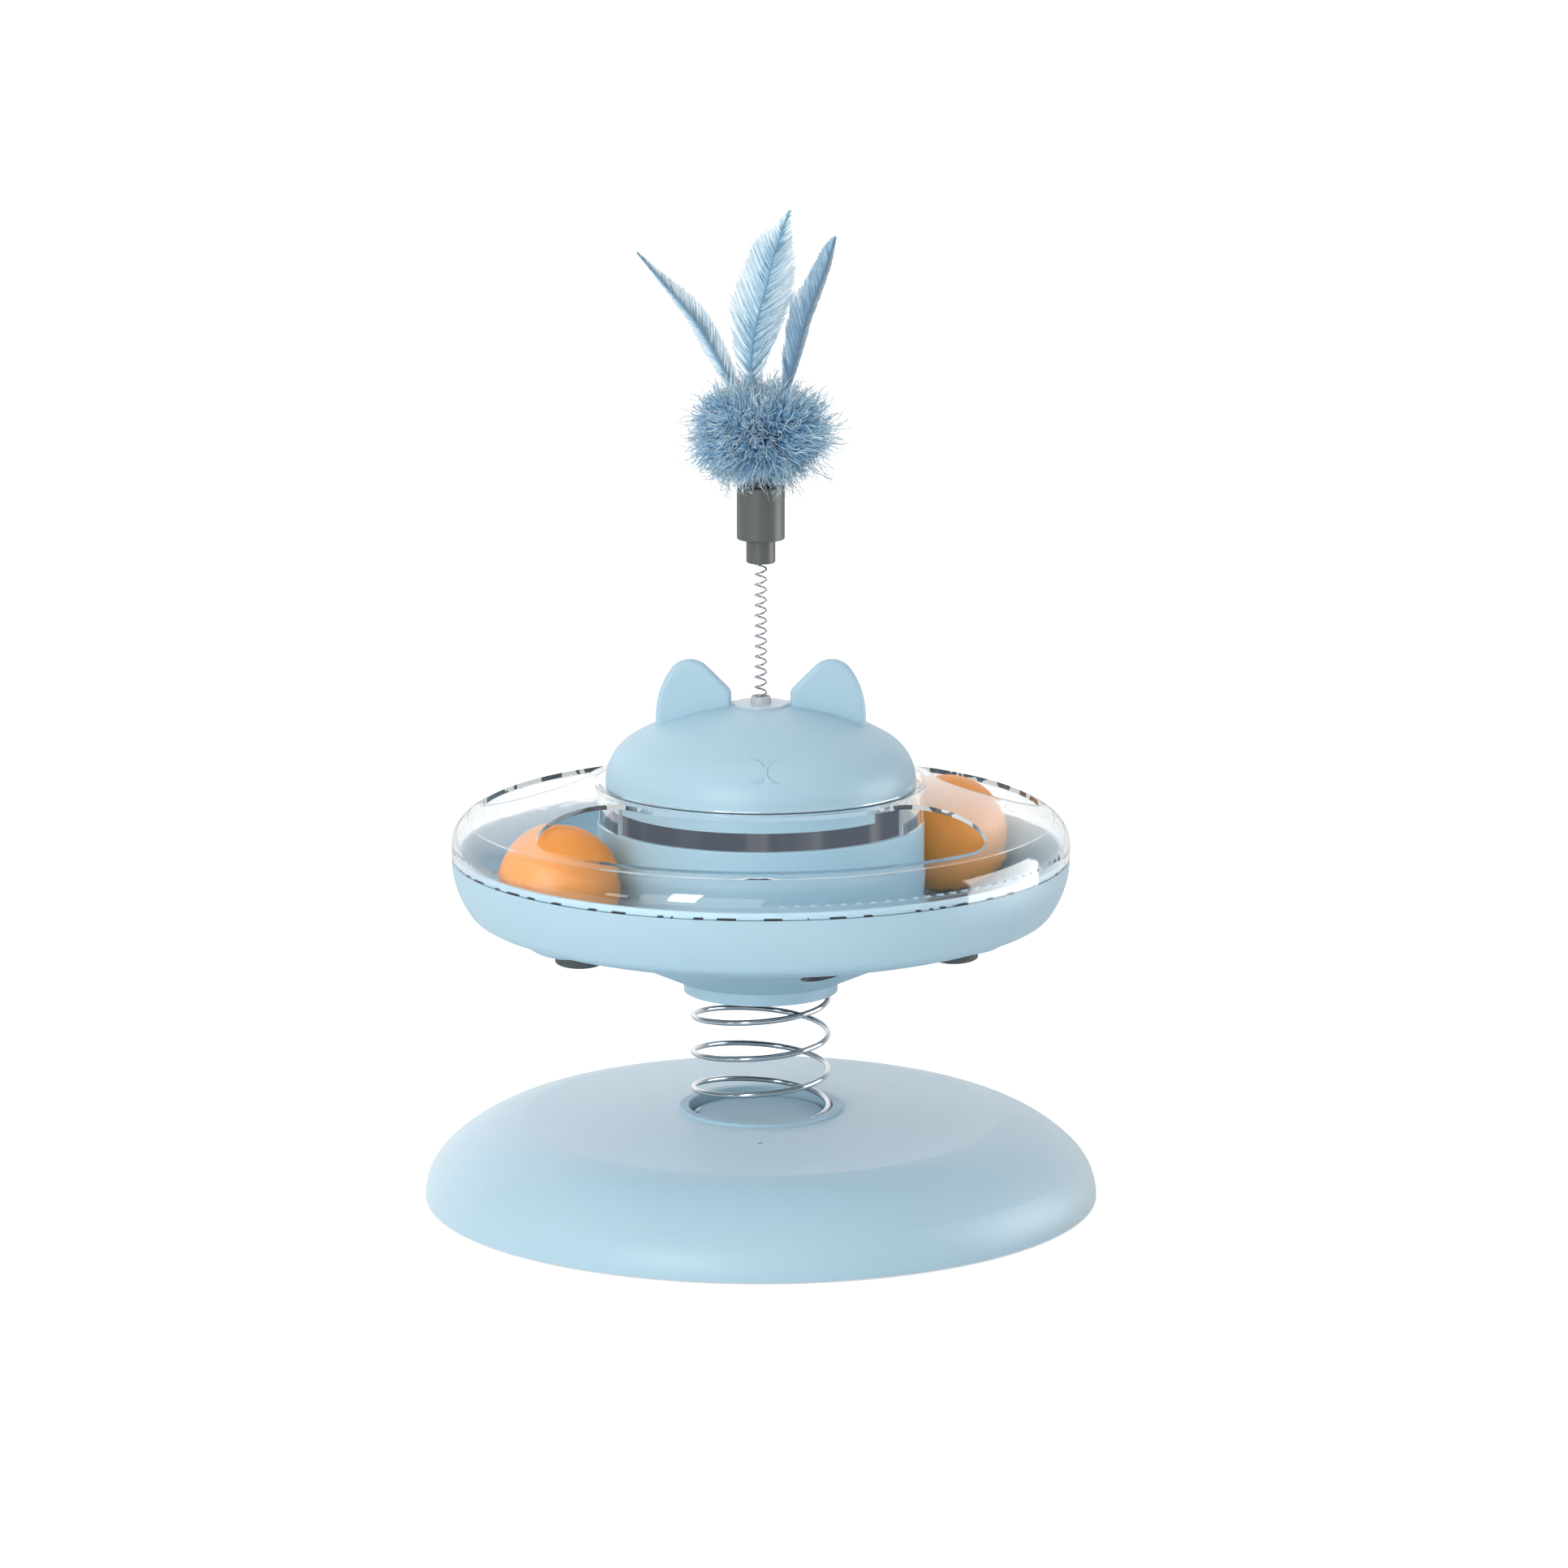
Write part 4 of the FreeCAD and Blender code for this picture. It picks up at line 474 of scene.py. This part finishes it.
window_edge = product(tree, upright_face,
                      maths(tree, "GREATER_THAN", from_axis, window_inner_radius),
                      maths(tree, "GREATER_THAN", place["Z"], window_bottom))
leg_side = product(tree, upright_face, maths(tree, "LESS_THAN", from_axis, leg_outer_radius),
                   maths(tree, "LESS_THAN", maths(tree, "ABSOLUTE", outwards), leg_side_turn))
cut_edge = maths(tree, "MAXIMUM", window_edge, leg_side)
angle = maths(tree, "ARCTAN2", place["Y"], place["X"])
seam_shade_noise = add(tree, "ShaderNodeTexNoise", {"noise_dimensions": "1D"},
                  {"W": maths(tree, "MULTIPLY", angle, 14.0), "Scale": 1.0, "Detail": 2.0})
# The seam's dark dashes are painted shade of the gap between the cover and the bowl.
painted_seam_shade = product(tree, maths(tree, "LESS_THAN", place["Z"], seam_top),
                      maths(tree, "GREATER_THAN", outwards, outer_face_turn),
                      maths(tree, "GREATER_THAN", seam_shade_noise, glint_level))
facing = add(tree, "ShaderNodeLayerWeight", None, {"Blend": 0.5}).outputs["Facing"]
tint = mixed(tree, ranged(tree, facing, 0.6, 0.95, smooth=True),
             (0.965, 0.975, 0.98, 1), (0.66, 0.685, 0.69, 1), "RGBA")
# Painted shade: the seam's dashes and the cut edges are tinted nearly black, for the shaded gap at
# the seam and for the dark room mirrored in the edges.
tint = mixed(tree, maths(tree, "MAXIMUM", painted_seam_shade, cut_edge), tint, painted_edge_shade, "RGBA")

# The cut edges carry the light that a real edge would pick up from the room round the toy.
window_glints = maths(tree, "GREATER_THAN", noise(tree, where, 120.0, 2.0), glint_level)
window_light = mixed(tree, window_glints, (0.06, 0.07, 0.075, 1), (0.55, 0.58, 0.58, 1), "RGBA")
in_front = ranged(tree, place["Y"], -0.036, -0.048, smooth=True)
window_light = mixed(tree, in_front, window_light, (0.36, 0.50, 0.60, 1), "RGBA")
edge_light = mixed(tree, window_edge, (0, 0, 0, 1), window_light, "RGBA")
edge_light = mixed(tree, leg_side, edge_light, (0.28, 0.33, 0.38, 1), "RGBA")
seen_from_within = maths(tree, "MULTIPLY", cut_edge, surface["Backfacing"])
feed(tree, glass, {
    "Metallic": 0.0, "Transmission Weight": 1.0, "IOR": 1.5,
    "Base Color": tint, "Emission Color": edge_light, "Emission Strength": 1.0,
    "Alpha": maths(tree, "SUBTRACT", 1.0, seen_from_within),
    "Roughness": ranged(tree, noise(tree, where, 420.0, 6.0), 0.35, 0.75, 0.015, 0.06),
    "Normal": add(tree, "ShaderNodeBump", None,
                  {"Distance": 0.00006, "Height": noise(tree, where, 45.0, 2.0)})})
lamps_pass = add(tree, "ShaderNodeBsdfTransparent", None, {"Color": (0.97, 0.98, 0.985, 1)})
clear_surface = add(tree, "ShaderNodeMixShader", None,
                    {0: add(tree, "ShaderNodeLightPath").outputs["Is Shadow Ray"],
                     1: glass, 2: lamps_pass})
feed(tree, tree.nodes["Material Output"], {"Surface": clear_surface})
cover_with(clear, "clear_cover")


# Track balls: two hollow orange polypropylene balls with a satin skin. They share the channel
# between the bowl and the drum, where a paw rolls them through the cover's windows.
orange = moulded("orange_polypropylene", "F09945", 0.42, grain=1300.0, relief=0.03,
                 cloudiness=0.05)
cover_with(orange, "ball_front", "ball_rear")


# Lid: the cat head over the drum, of the same pale blue ABS with a faint muzzle in relief on its
# front, a frosted plug and nut through its apex, and a small grey bush round the wand spring.
light_grey = moulded("light_grey_abs", "B9BFC4", 0.45)
natural_plastic = moulded("natural_polypropylene", "C3CFDA", 0.32, grain=2000.0, relief=0.02)
lid_plastic = moulded("lid_abs", **pale_blue_abs)

# The muzzle is two arcs back to back, each a part of a circle round a cheek.
muzzle_x, muzzle_z = 0.0011, 0.1426
muzzle_squeeze = 1.35
muzzle_half_width = 0.0044
muzzle_depth = 7.0
cheek_x, cheek_radius = 0.0046, 0.0043
line_core, line_reach = 0.0003, 0.0009
fade_from, fade_to = 0.0036, 0.0046
tree = lid_plastic.node_tree
_, place, _ = placed(tree)
across = maths(tree, "ABSOLUTE", maths(tree, "SUBTRACT", place["X"], muzzle_x))
up_slope = maths(tree, "MULTIPLY", maths(tree, "SUBTRACT", place["Z"], muzzle_z), muzzle_squeeze)
from_cheek = vectors(tree, "DISTANCE", combined(tree, X=across, Y=up_slope), (cheek_x, 0, 0))
from_line = maths(tree, "ABSOLUTE", maths(tree, "SUBTRACT", from_cheek, cheek_radius))
from_middle = maths(tree, "ABSOLUTE", up_slope)
muzzle = product(tree, ranged(tree, from_line, line_core, line_reach, 1.0, 0.0, smooth=True),
                 ranged(tree, from_middle, fade_from, fade_to, 1.0, 0.0, smooth=True),
                 maths(tree, "LESS_THAN", across, muzzle_half_width),
                 maths(tree, "LESS_THAN", place["Y"], 0.0))
bump = next(node for node in tree.nodes if node.bl_idname == "ShaderNodeBump")
grain_height = bump.inputs["Height"].links[0].from_socket
feed(tree, bump, {"Height": maths(tree, "MULTIPLY_ADD", muzzle, muzzle_depth, grain_height)})
cover_with(lid_plastic, "lid_dome")
cover_with(natural_plastic, "wand_plug", "plug_nut")
cover_with(light_grey, "wand_bush")


# Wand spring: thin bright wire, an open coil from the plug in the lid up into the ferrule, made in
# two halves.
wand_wire = drawn_steel("bright_wand_wire", "D2D5D9", 0.20)
wand_turns = 56.9 / 3.2
wand_points = 640
for name, first, last, lower_body, upper_body, low, high in (
        ("wand_spring_foot", 0.0, 0.55, "lid", "wand", 0.1590, 0.1800),
        ("wand_spring_head", 0.55, 1.0, "wand", "ferrule", 0.1800, 0.1980)):
    half = grown(name, coil_tree, Coil_radius=0.00172, Wire_radius=0.00032, Bottom=0.1488,
                 Height=0.0569, First_angle=math.radians(-90), Turns=wand_turns,
                 Closed_turns=0.0, Closed_height=0.0, From=first, To=last,
                 Points=int(wand_points * (last - first)), Steel=wand_wire)
    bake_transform(half)
    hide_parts("wand_spring")


# Ferrule and sleeve: two dark grey ABS sleeves that push together, so that the feather head can be
# changed, with the quills held in a plug in the upper one.
dark_grey = moulded("dark_grey_abs", "565A59", 0.36, grain=1800.0, relief=0.03)
cover_with(dark_grey, "wand_ferrule", "teaser_sleeve", "quill_plug")


# Fluff: a ball of dyed marabou tied round the quills, a dense dark down inside and paler, longer
# fibres outside that wave together in locks and thin out towards their tips.
def dyed(name, root_colour, middle_colour, tip_colour, patch_scale, contrast):
    """Dyed down or barbs, darkest at the root of each fibre, with a tone of its own for each."""
    material, tree, shader = new_material(name)
    reach = add(tree, "ShaderNodeAttribute", {"attribute_name": "reach"}).outputs["Fac"]
    tone = add(tree, "ShaderNodeAttribute", {"attribute_name": "tone"}).outputs["Fac"]
    patches = noise(tree, add(tree, "ShaderNodeTexCoord").outputs["Object"], patch_scale, 2.0)
    strength = maths(tree, "MULTIPLY_ADD", maths(tree, "SUBTRACT", tone, 0.5), contrast, reach)
    strength = maths(tree, "MULTIPLY_ADD", maths(tree, "SUBTRACT", patches, 0.5), 0.7, strength)
    ramp = add(tree, "ShaderNodeValToRGB", None, {"Fac": strength})
    ramp.color_ramp.elements[0].color = colour(root_colour)
    ramp.color_ramp.elements[1].color = colour(tip_colour)
    ramp.color_ramp.elements.new(0.45).color = colour(middle_colour)
    feed(tree, shader, {"Base Color": ramp, "Sheen Weight": 0.25,
                        "Roughness": ranged(tree, tone, 0.0, 1.0, 0.62, 0.85)})
    return material


def random_between(tree, low, high, seed):
    """A random number for each point or instance."""
    return add(tree, "FunctionNodeRandomValue", {"data_type": "FLOAT"},
               {"Min": low, "Max": high, "Seed": seed})


def stored(tree, geometry, name, value, domain="POINT", kind="FLOAT"):
    """The geometry with a value kept on it under a name."""
    return add(tree, "GeometryNodeStoreNamedAttribute", {"data_type": kind, "domain": domain},
               {"Geometry": geometry, "Name": name, "Value": value})


def kept(tree, name, kind="FLOAT"):
    """A value that was kept on the geometry under a name."""
    return add(tree, "GeometryNodeInputNamedAttribute", {"data_type": kind},
               {"Name": name}).outputs[0]


def tapered(tree, segments, tip_radius):
    """A fibre one unit long and one unit thick, which knows how far along it each point is."""
    cone = add(tree, "GeometryNodeMeshCone", {"fill_type": "NONE"},
               {"Vertices": 3, "Side Segments": segments, "Radius Top": tip_radius,
                "Radius Bottom": 0.5, "Depth": 1.0})
    position = add(tree, "GeometryNodeInputPosition")
    height = add(tree, "ShaderNodeSeparateXYZ", None, {0: position}).outputs["Z"]
    return stored(tree, cone, "reach", height)


def turned(tree, rotation, euler):
    """A rotation turned further by angles in its own frame."""
    return add(tree, "FunctionNodeRotateRotation", {"rotation_space": "LOCAL"},
               {"Rotation": rotation,
                "Rotate By": add(tree, "FunctionNodeEulerToRotation", None, {"Euler": euler})})


def moved(tree, geometry, offset):
    """The geometry with its points moved."""
    return add(tree, "GeometryNodeSetPosition", None, {"Geometry": geometry, "Offset": offset})


def sway(tree, scale, amount, power):
    """A push that neighbouring fibres share, which grows towards their tips."""
    waves = add(tree, "ShaderNodeTexNoise", None, {"Scale": scale, "Detail": 1.0})
    centred = vectors(tree, "SUBTRACT", waves.outputs["Color"], (0.5, 0.5, 0.5))
    growth = maths(tree, "MULTIPLY", maths(tree, "POWER", kept(tree, "reach"), power), amount)
    return vectors(tree, "SCALE", centred, growth)


fluff_tree, given, made = group_tree(
    "fluff_of_fibres", "GeometryNodeTree",
    [("Core width", "Float", 0.01), ("Core height", "Float", 0.008), ("Middle", "Float", 0.241),
     ("Density", "Float", 4e6), ("Side length", "Float", 0.015), ("Top length", "Float", 0.01),
     ("Shortest", "Float", 0.6), ("Thickness", "Float", 0.0003), ("Splay", "Float", 0.3),
     ("Wave", "Float", 0.003), ("Curl", "Float", 0.0008), ("Seed", "Int", 1),
     ("Down", "Material", None)],
    [("Geometry", "Geometry")])
fluff_tree.is_modifier = True
core = add(fluff_tree, "GeometryNodeMeshIcoSphere", None, {"Radius": 1.0, "Subdivisions": 4})
core_size = combined(fluff_tree, X=given["Core width"], Y=given["Core width"],
                     Z=given["Core height"])
core = add(fluff_tree, "GeometryNodeTransform", None, {"Geometry": core, "Scale": core_size})
core = add(fluff_tree, "GeometryNodeTransform", None,
           {"Geometry": core, "Translation": combined(fluff_tree, Z=given["Middle"])})
roots = add(fluff_tree, "GeometryNodeDistributePointsOnFaces", {"distribute_method": "RANDOM"},
            {"Mesh": core, "Density": given["Density"], "Seed": given["Seed"]})
root_normal = add(fluff_tree, "ShaderNodeSeparateXYZ", None, {0: roots.outputs["Normal"]})
steepness = maths(fluff_tree, "ABSOLUTE", root_normal.outputs["Z"])
full_length = ranged(fluff_tree, maths(fluff_tree, "POWER", steepness, 2.0), 0.0, 1.0,
                     given["Side length"], given["Top length"])
length = maths(fluff_tree, "MULTIPLY", full_length,
               random_between(fluff_tree, given["Shortest"], 1.0, 11))
tip_lean = add(fluff_tree, "FunctionNodeRandomValue", {"data_type": "FLOAT_VECTOR"},
               {"Min": (-1, -1, -1), "Max": (1, 1, 1), "Seed": 12})
leaning = turned(fluff_tree, roots.outputs["Rotation"],
                 vectors(fluff_tree, "SCALE", tip_lean, given["Splay"]))
fibre_size = combined(fluff_tree, X=given["Thickness"], Y=given["Thickness"], Z=length)
fibres = add(fluff_tree, "GeometryNodeInstanceOnPoints", None,
             {"Points": roots, "Instance": tapered(fluff_tree, 7, 0.14), "Rotation": leaning,
              "Scale": fibre_size})
fibres = stored(fluff_tree, fibres, "tone", random_between(fluff_tree, 0.0, 1.0, 13),
                domain="INSTANCE")
fibres = add(fluff_tree, "GeometryNodeRealizeInstances", None, {"Geometry": fibres})
for lock_scale, amount, power in ((110.0, given["Wave"], 1.0), (420.0, given["Curl"], 0.6)):
    fibres = moved(fluff_tree, fibres, sway(fluff_tree, lock_scale, amount, power))
fibres = add(fluff_tree, "GeometryNodeSetMaterial", None,
             {"Geometry": fibres, "Material": given["Down"]})
feed(fluff_tree, made, {"Geometry": fibres})

for (name, core_width, core_height, density, side_length, top_length, shortest, thickness,
     wave, curl, seed, tones) in (
        ("fluff_down", 0.0115, 0.0080, 2.6e6, 0.0120, 0.0070, 0.45, 0.00040,
         0.007, 0.0034, 21, ("2C70AC", "6EB0E0", "AADCF8")),
        ("fluff_fibres", 0.0110, 0.0075, 2.4e6, 0.0155, 0.0092, 0.50, 0.00036,
         0.011, 0.0046, 22, ("3884C4", "8CCCF4", "D0F0FF")),
        ("fluff_tips", 0.0100, 0.0070, 2.0e6, 0.0190, 0.0135, 0.50, 0.00028,
         0.015, 0.0054, 23, ("60A8DE", "BAE6FE", "ECFAFF"))):
    fluff = grown(name, fluff_tree, Core_width=core_width, Core_height=core_height,
                  Middle=0.2399, Density=density, Side_length=side_length,
                  Top_length=top_length, Shortest=shortest, Thickness=thickness, Splay=0.35,
                  Wave=wave, Curl=curl, Seed=seed,
                  Down=dyed("dyed_" + name, *tones, patch_scale=90.0, contrast=0.9))
    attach(fluff, "teaser")
    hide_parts("pompom")


# Feathers: three dyed rooster feathers whose quills are glued in a plug. The outer two are knit
# blades seen half from the side, and the broad one behind them has barbs that have come apart in
# tufts.
feather_tree, given, made = group_tree(
    "feather", "GeometryNodeTree",
    [("Rachis", "Geometry", None), ("Barbs", "Int", 260), ("Barb angle", "Float", 0.85),
     ("Barb curl", "Float", 0.22), ("Barb width", "Float", 0.0003), ("Tuft", "Float", 0.0014),
     ("Ragged", "Float", 0.0006), ("Fold", "Float", 0.25), ("Quill radius", "Float", 0.0006),
     ("Lean", "Float", 0.0), ("Root", "Float", 0.2357), ("Seed", "Int", 1),
     ("Vane", "Material", None)],
    [("Geometry", "Geometry")])
feather_tree.is_modifier = True
rachis = add(feather_tree, "GeometryNodeMeshToCurve", None, {"Mesh": given["Rachis"]})
rachis = add(feather_tree, "GeometryNodeCurveSplineType", {"spline_type": "CATMULL_ROM"},
             {"Curve": rachis})
rachis = add(feather_tree, "GeometryNodeResampleCurve", None,
             {"Curve": rachis, "Count": given["Barbs"]})
spline = add(feather_tree, "GeometryNodeSplineParameter").outputs
rachis = stored(feather_tree, rachis, "along", spline["Factor"])
rachis = stored(feather_tree, rachis, "towards_tip", add(feather_tree, "GeometryNodeInputTangent"),
                kind="FLOAT_VECTOR")
tuft_phase = maths(feather_tree, "DIVIDE", spline["Length"], given["Tuft"])
tuft_noise = add(feather_tree, "ShaderNodeTexNoise", {"noise_dimensions": "1D"},
                 {"W": maths(feather_tree, "MULTIPLY_ADD", tuft_phase, 0.4, given["Seed"]),
                  "Scale": 1.0, "Detail": 1.0})
tuft_phase = maths(feather_tree, "MULTIPLY_ADD", tuft_noise, 2.5, tuft_phase)
from_tuft_middle = maths(feather_tree, "SUBTRACT", 0.5, maths(feather_tree, "FRACT", tuft_phase))
rachis = stored(feather_tree, rachis, "gather",
                product(feather_tree, from_tuft_middle, given["Tuft"],
                        kept(feather_tree, "looseness")))
quill_section = add(feather_tree, "GeometryNodeCurvePrimitiveCircle", None,
                    {"Resolution": 6, "Radius": 1.0}).outputs["Curve"]
quill_radius = ranged(feather_tree, kept(feather_tree, "along"), 0.0, 1.0,
                      given["Quill radius"], 0.0001)
quill = add(feather_tree, "GeometryNodeCurveToMesh", None,
            {"Curve": rachis, "Scale": quill_radius, "Fill Caps": True,
             "Profile Curve": quill_section})
quill = stored(feather_tree, quill, "reach", -0.15)
barb = tapered(feather_tree, 8, 0.16)
width_per_length = maths(feather_tree, "SINE", given["Barb angle"])
barb_thickness = maths(feather_tree, "MULTIPLY", given["Barb width"], 0.45)
narrowest_vane = 0.0003
upright = add(feather_tree, "FunctionNodeAlignRotationToVector", {"axis": "Z", "pivot_axis": "Y"},
              {"Vector": add(feather_tree, "GeometryNodeInputTangent")})
joined = add(feather_tree, "GeometryNodeJoinGeometry", None, {0: quill})
for side, sign, seed in (("left_vane", -1, 31), ("right_vane", 1, 32)):
    vane = kept(feather_tree, side)
    barb_length = maths(feather_tree, "MULTIPLY",
                        maths(feather_tree, "DIVIDE", vane, width_per_length),
                        random_between(feather_tree, 0.9, 1.04, seed))
    spread_angle = maths(feather_tree, "ADD", given["Barb angle"],
                         random_between(feather_tree, -0.05, 0.05, seed + 10))
    barb_turn = turned(feather_tree, upright, combined(
        feather_tree, Y=maths(feather_tree, "MULTIPLY", spread_angle, sign)))
    barb_size = combined(feather_tree, X=given["Barb width"], Y=barb_thickness, Z=barb_length)
    barbs = add(feather_tree, "GeometryNodeInstanceOnPoints", None,
                {"Points": stored(feather_tree, rachis, "barb_length", barb_length),
                 "Selection": maths(feather_tree, "GREATER_THAN", vane, narrowest_vane),
                 "Instance": barb, "Rotation": barb_turn, "Scale": barb_size})
    barbs = stored(feather_tree, barbs, "tone", random_between(feather_tree, 0.0, 1.0, seed + 20),
                   domain="INSTANCE")
    feed(feather_tree, joined, {0: barbs})
vanes = add(feather_tree, "GeometryNodeRealizeInstances", None, {"Geometry": joined})
reach = maths(feather_tree, "MAXIMUM", kept(feather_tree, "reach"), 0.0)
curl = product(feather_tree, kept(feather_tree, "barb_length"), given["Barb curl"],
               maths(feather_tree, "POWER", reach, 2.0))
drift = maths(feather_tree, "MULTIPLY_ADD", kept(feather_tree, "gather"), reach, curl)
vanes = moved(feather_tree, vanes, vectors(
    feather_tree, "SCALE", kept(feather_tree, "towards_tip", "FLOAT_VECTOR"), drift))
fold_back = product(feather_tree, reach, kept(feather_tree, "barb_length"), given["Fold"])
vanes = moved(feather_tree, vanes, combined(feather_tree, Y=fold_back))
vanes = moved(feather_tree, vanes, sway(feather_tree, 260.0, given["Ragged"], 1.5))
vanes = add(feather_tree, "GeometryNodeTransform", None,
            {"Geometry": vanes, "Rotation": combined(feather_tree, X=given["Lean"]),
             "Translation": combined(feather_tree, Z=given["Root"])})
vanes = add(feather_tree, "GeometryNodeSetMaterial", None,
            {"Geometry": vanes, "Material": given["Vane"]})
feed(feather_tree, made, {"Geometry": vanes})

# Each point of a rachis: across and height, the widths of its left and right vane, all in
# millimetres, and how loose its barbs are.
quill_plug_top = 235.7
for name, rachis_points, lean, barbs, angle, tuft, ragged, fold, tones in (
        ("feather_left",
         [(-1.7, 235.9, 0, 0, 0), (-4.2, 245.0, 0, 0, 0), (-7.4, 251.5, 1.4, 1.8, 0.6),
          (-9.4, 255.6, 2.2, 3.4, 0.5), (-12.9, 262.0, 2.6, 4.2, 0.4),
          (-18.7, 272.2, 2.0, 4.0, 0.3), (-23.7, 278.9, 1.4, 3.2, 0.3),
          (-31.0, 287.5, 0.7, 1.6, 0.3), (-37.4, 295.2, 0.3, 0.4, 0.2)],
         3.0, 520, 36, 1.0, 0.22, 0.30, ("76A4C0", "CEEAFA", "ECF8FE")),
        ("feather_right",
         [(1.7, 235.9, 0, 0, 0), (4.4, 245.0, 0, 0, 0), (7.2, 252.0, 2.0, 1.0, 0.6),
          (8.9, 257.7, 4.2, 1.6, 0.5), (11.8, 268.1, 5.4, 1.9, 0.4),
          (13.8, 275.6, 4.6, 1.9, 0.3), (18.7, 288.4, 3.2, 1.5, 0.3),
          (21.0, 295.4, 1.8, 0.9, 0.3), (22.6, 300.3, 0.3, 0.3, 0.2)],
         4.0, 520, 36, 1.0, 0.22, 0.30, ("587E9C", "8CB0CA", "AACAE0")),
        ("feather_centre",
         [(0.0, 235.9, 0, 0, 0), (-1.4, 245.0, 0, 0, 0), (-2.7, 252.5, 3.0, 4.0, 1.0),
          (-3.1, 260.0, 5.8, 9.0, 1.0), (-2.4, 268.5, 8.4, 9.4, 1.0),
          (-0.6, 276.4, 8.4, 8.4, 0.8), (1.9, 285.7, 7.2, 6.6, 0.55),
          (3.9, 294.0, 4.6, 4.4, 0.45), (5.8, 299.4, 2.4, 2.6, 0.6),
          (7.2, 303.4, 1.5, 1.5, 0.6), (8.6, 307.3, 0.5, 0.5, 0.5)],
         -4.5, 500, 44, 2.2, 0.6, 0.20, ("6F9CBA", "BCE0F2", "E4F4FE"))):
    backbone = bpy.data.meshes.new(name + "_rachis")
    backbone.from_pydata([(x / 1000, 0, (z - quill_plug_top) / 1000)
                          for x, z, *_ in rachis_points],
                         [(i, i + 1) for i in range(len(rachis_points) - 1)], [])
    for column, attribute, scale in ((2, "left_vane", 1000), (3, "right_vane", 1000),
                                     (4, "looseness", 1)):
        values = backbone.attributes.new(attribute, "FLOAT", "POINT")
        values.data.foreach_set("value", [point[column] / scale for point in rachis_points])
    feather = grown(name + "_barbs", feather_tree, backbone, Barbs=barbs,
                    Barb_angle=math.radians(angle), Barb_curl=0.22, Barb_width=0.00052,
                    Tuft=tuft / 1000, Ragged=ragged / 1000, Fold=fold, Quill_radius=0.0006,
                    Lean=math.radians(lean), Root=quill_plug_top / 1000, Seed=7,
                    Vane=dyed("dyed_" + name, *tones, patch_scale=60.0, contrast=0.9))
    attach(feather, "teaser")
    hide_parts(name)
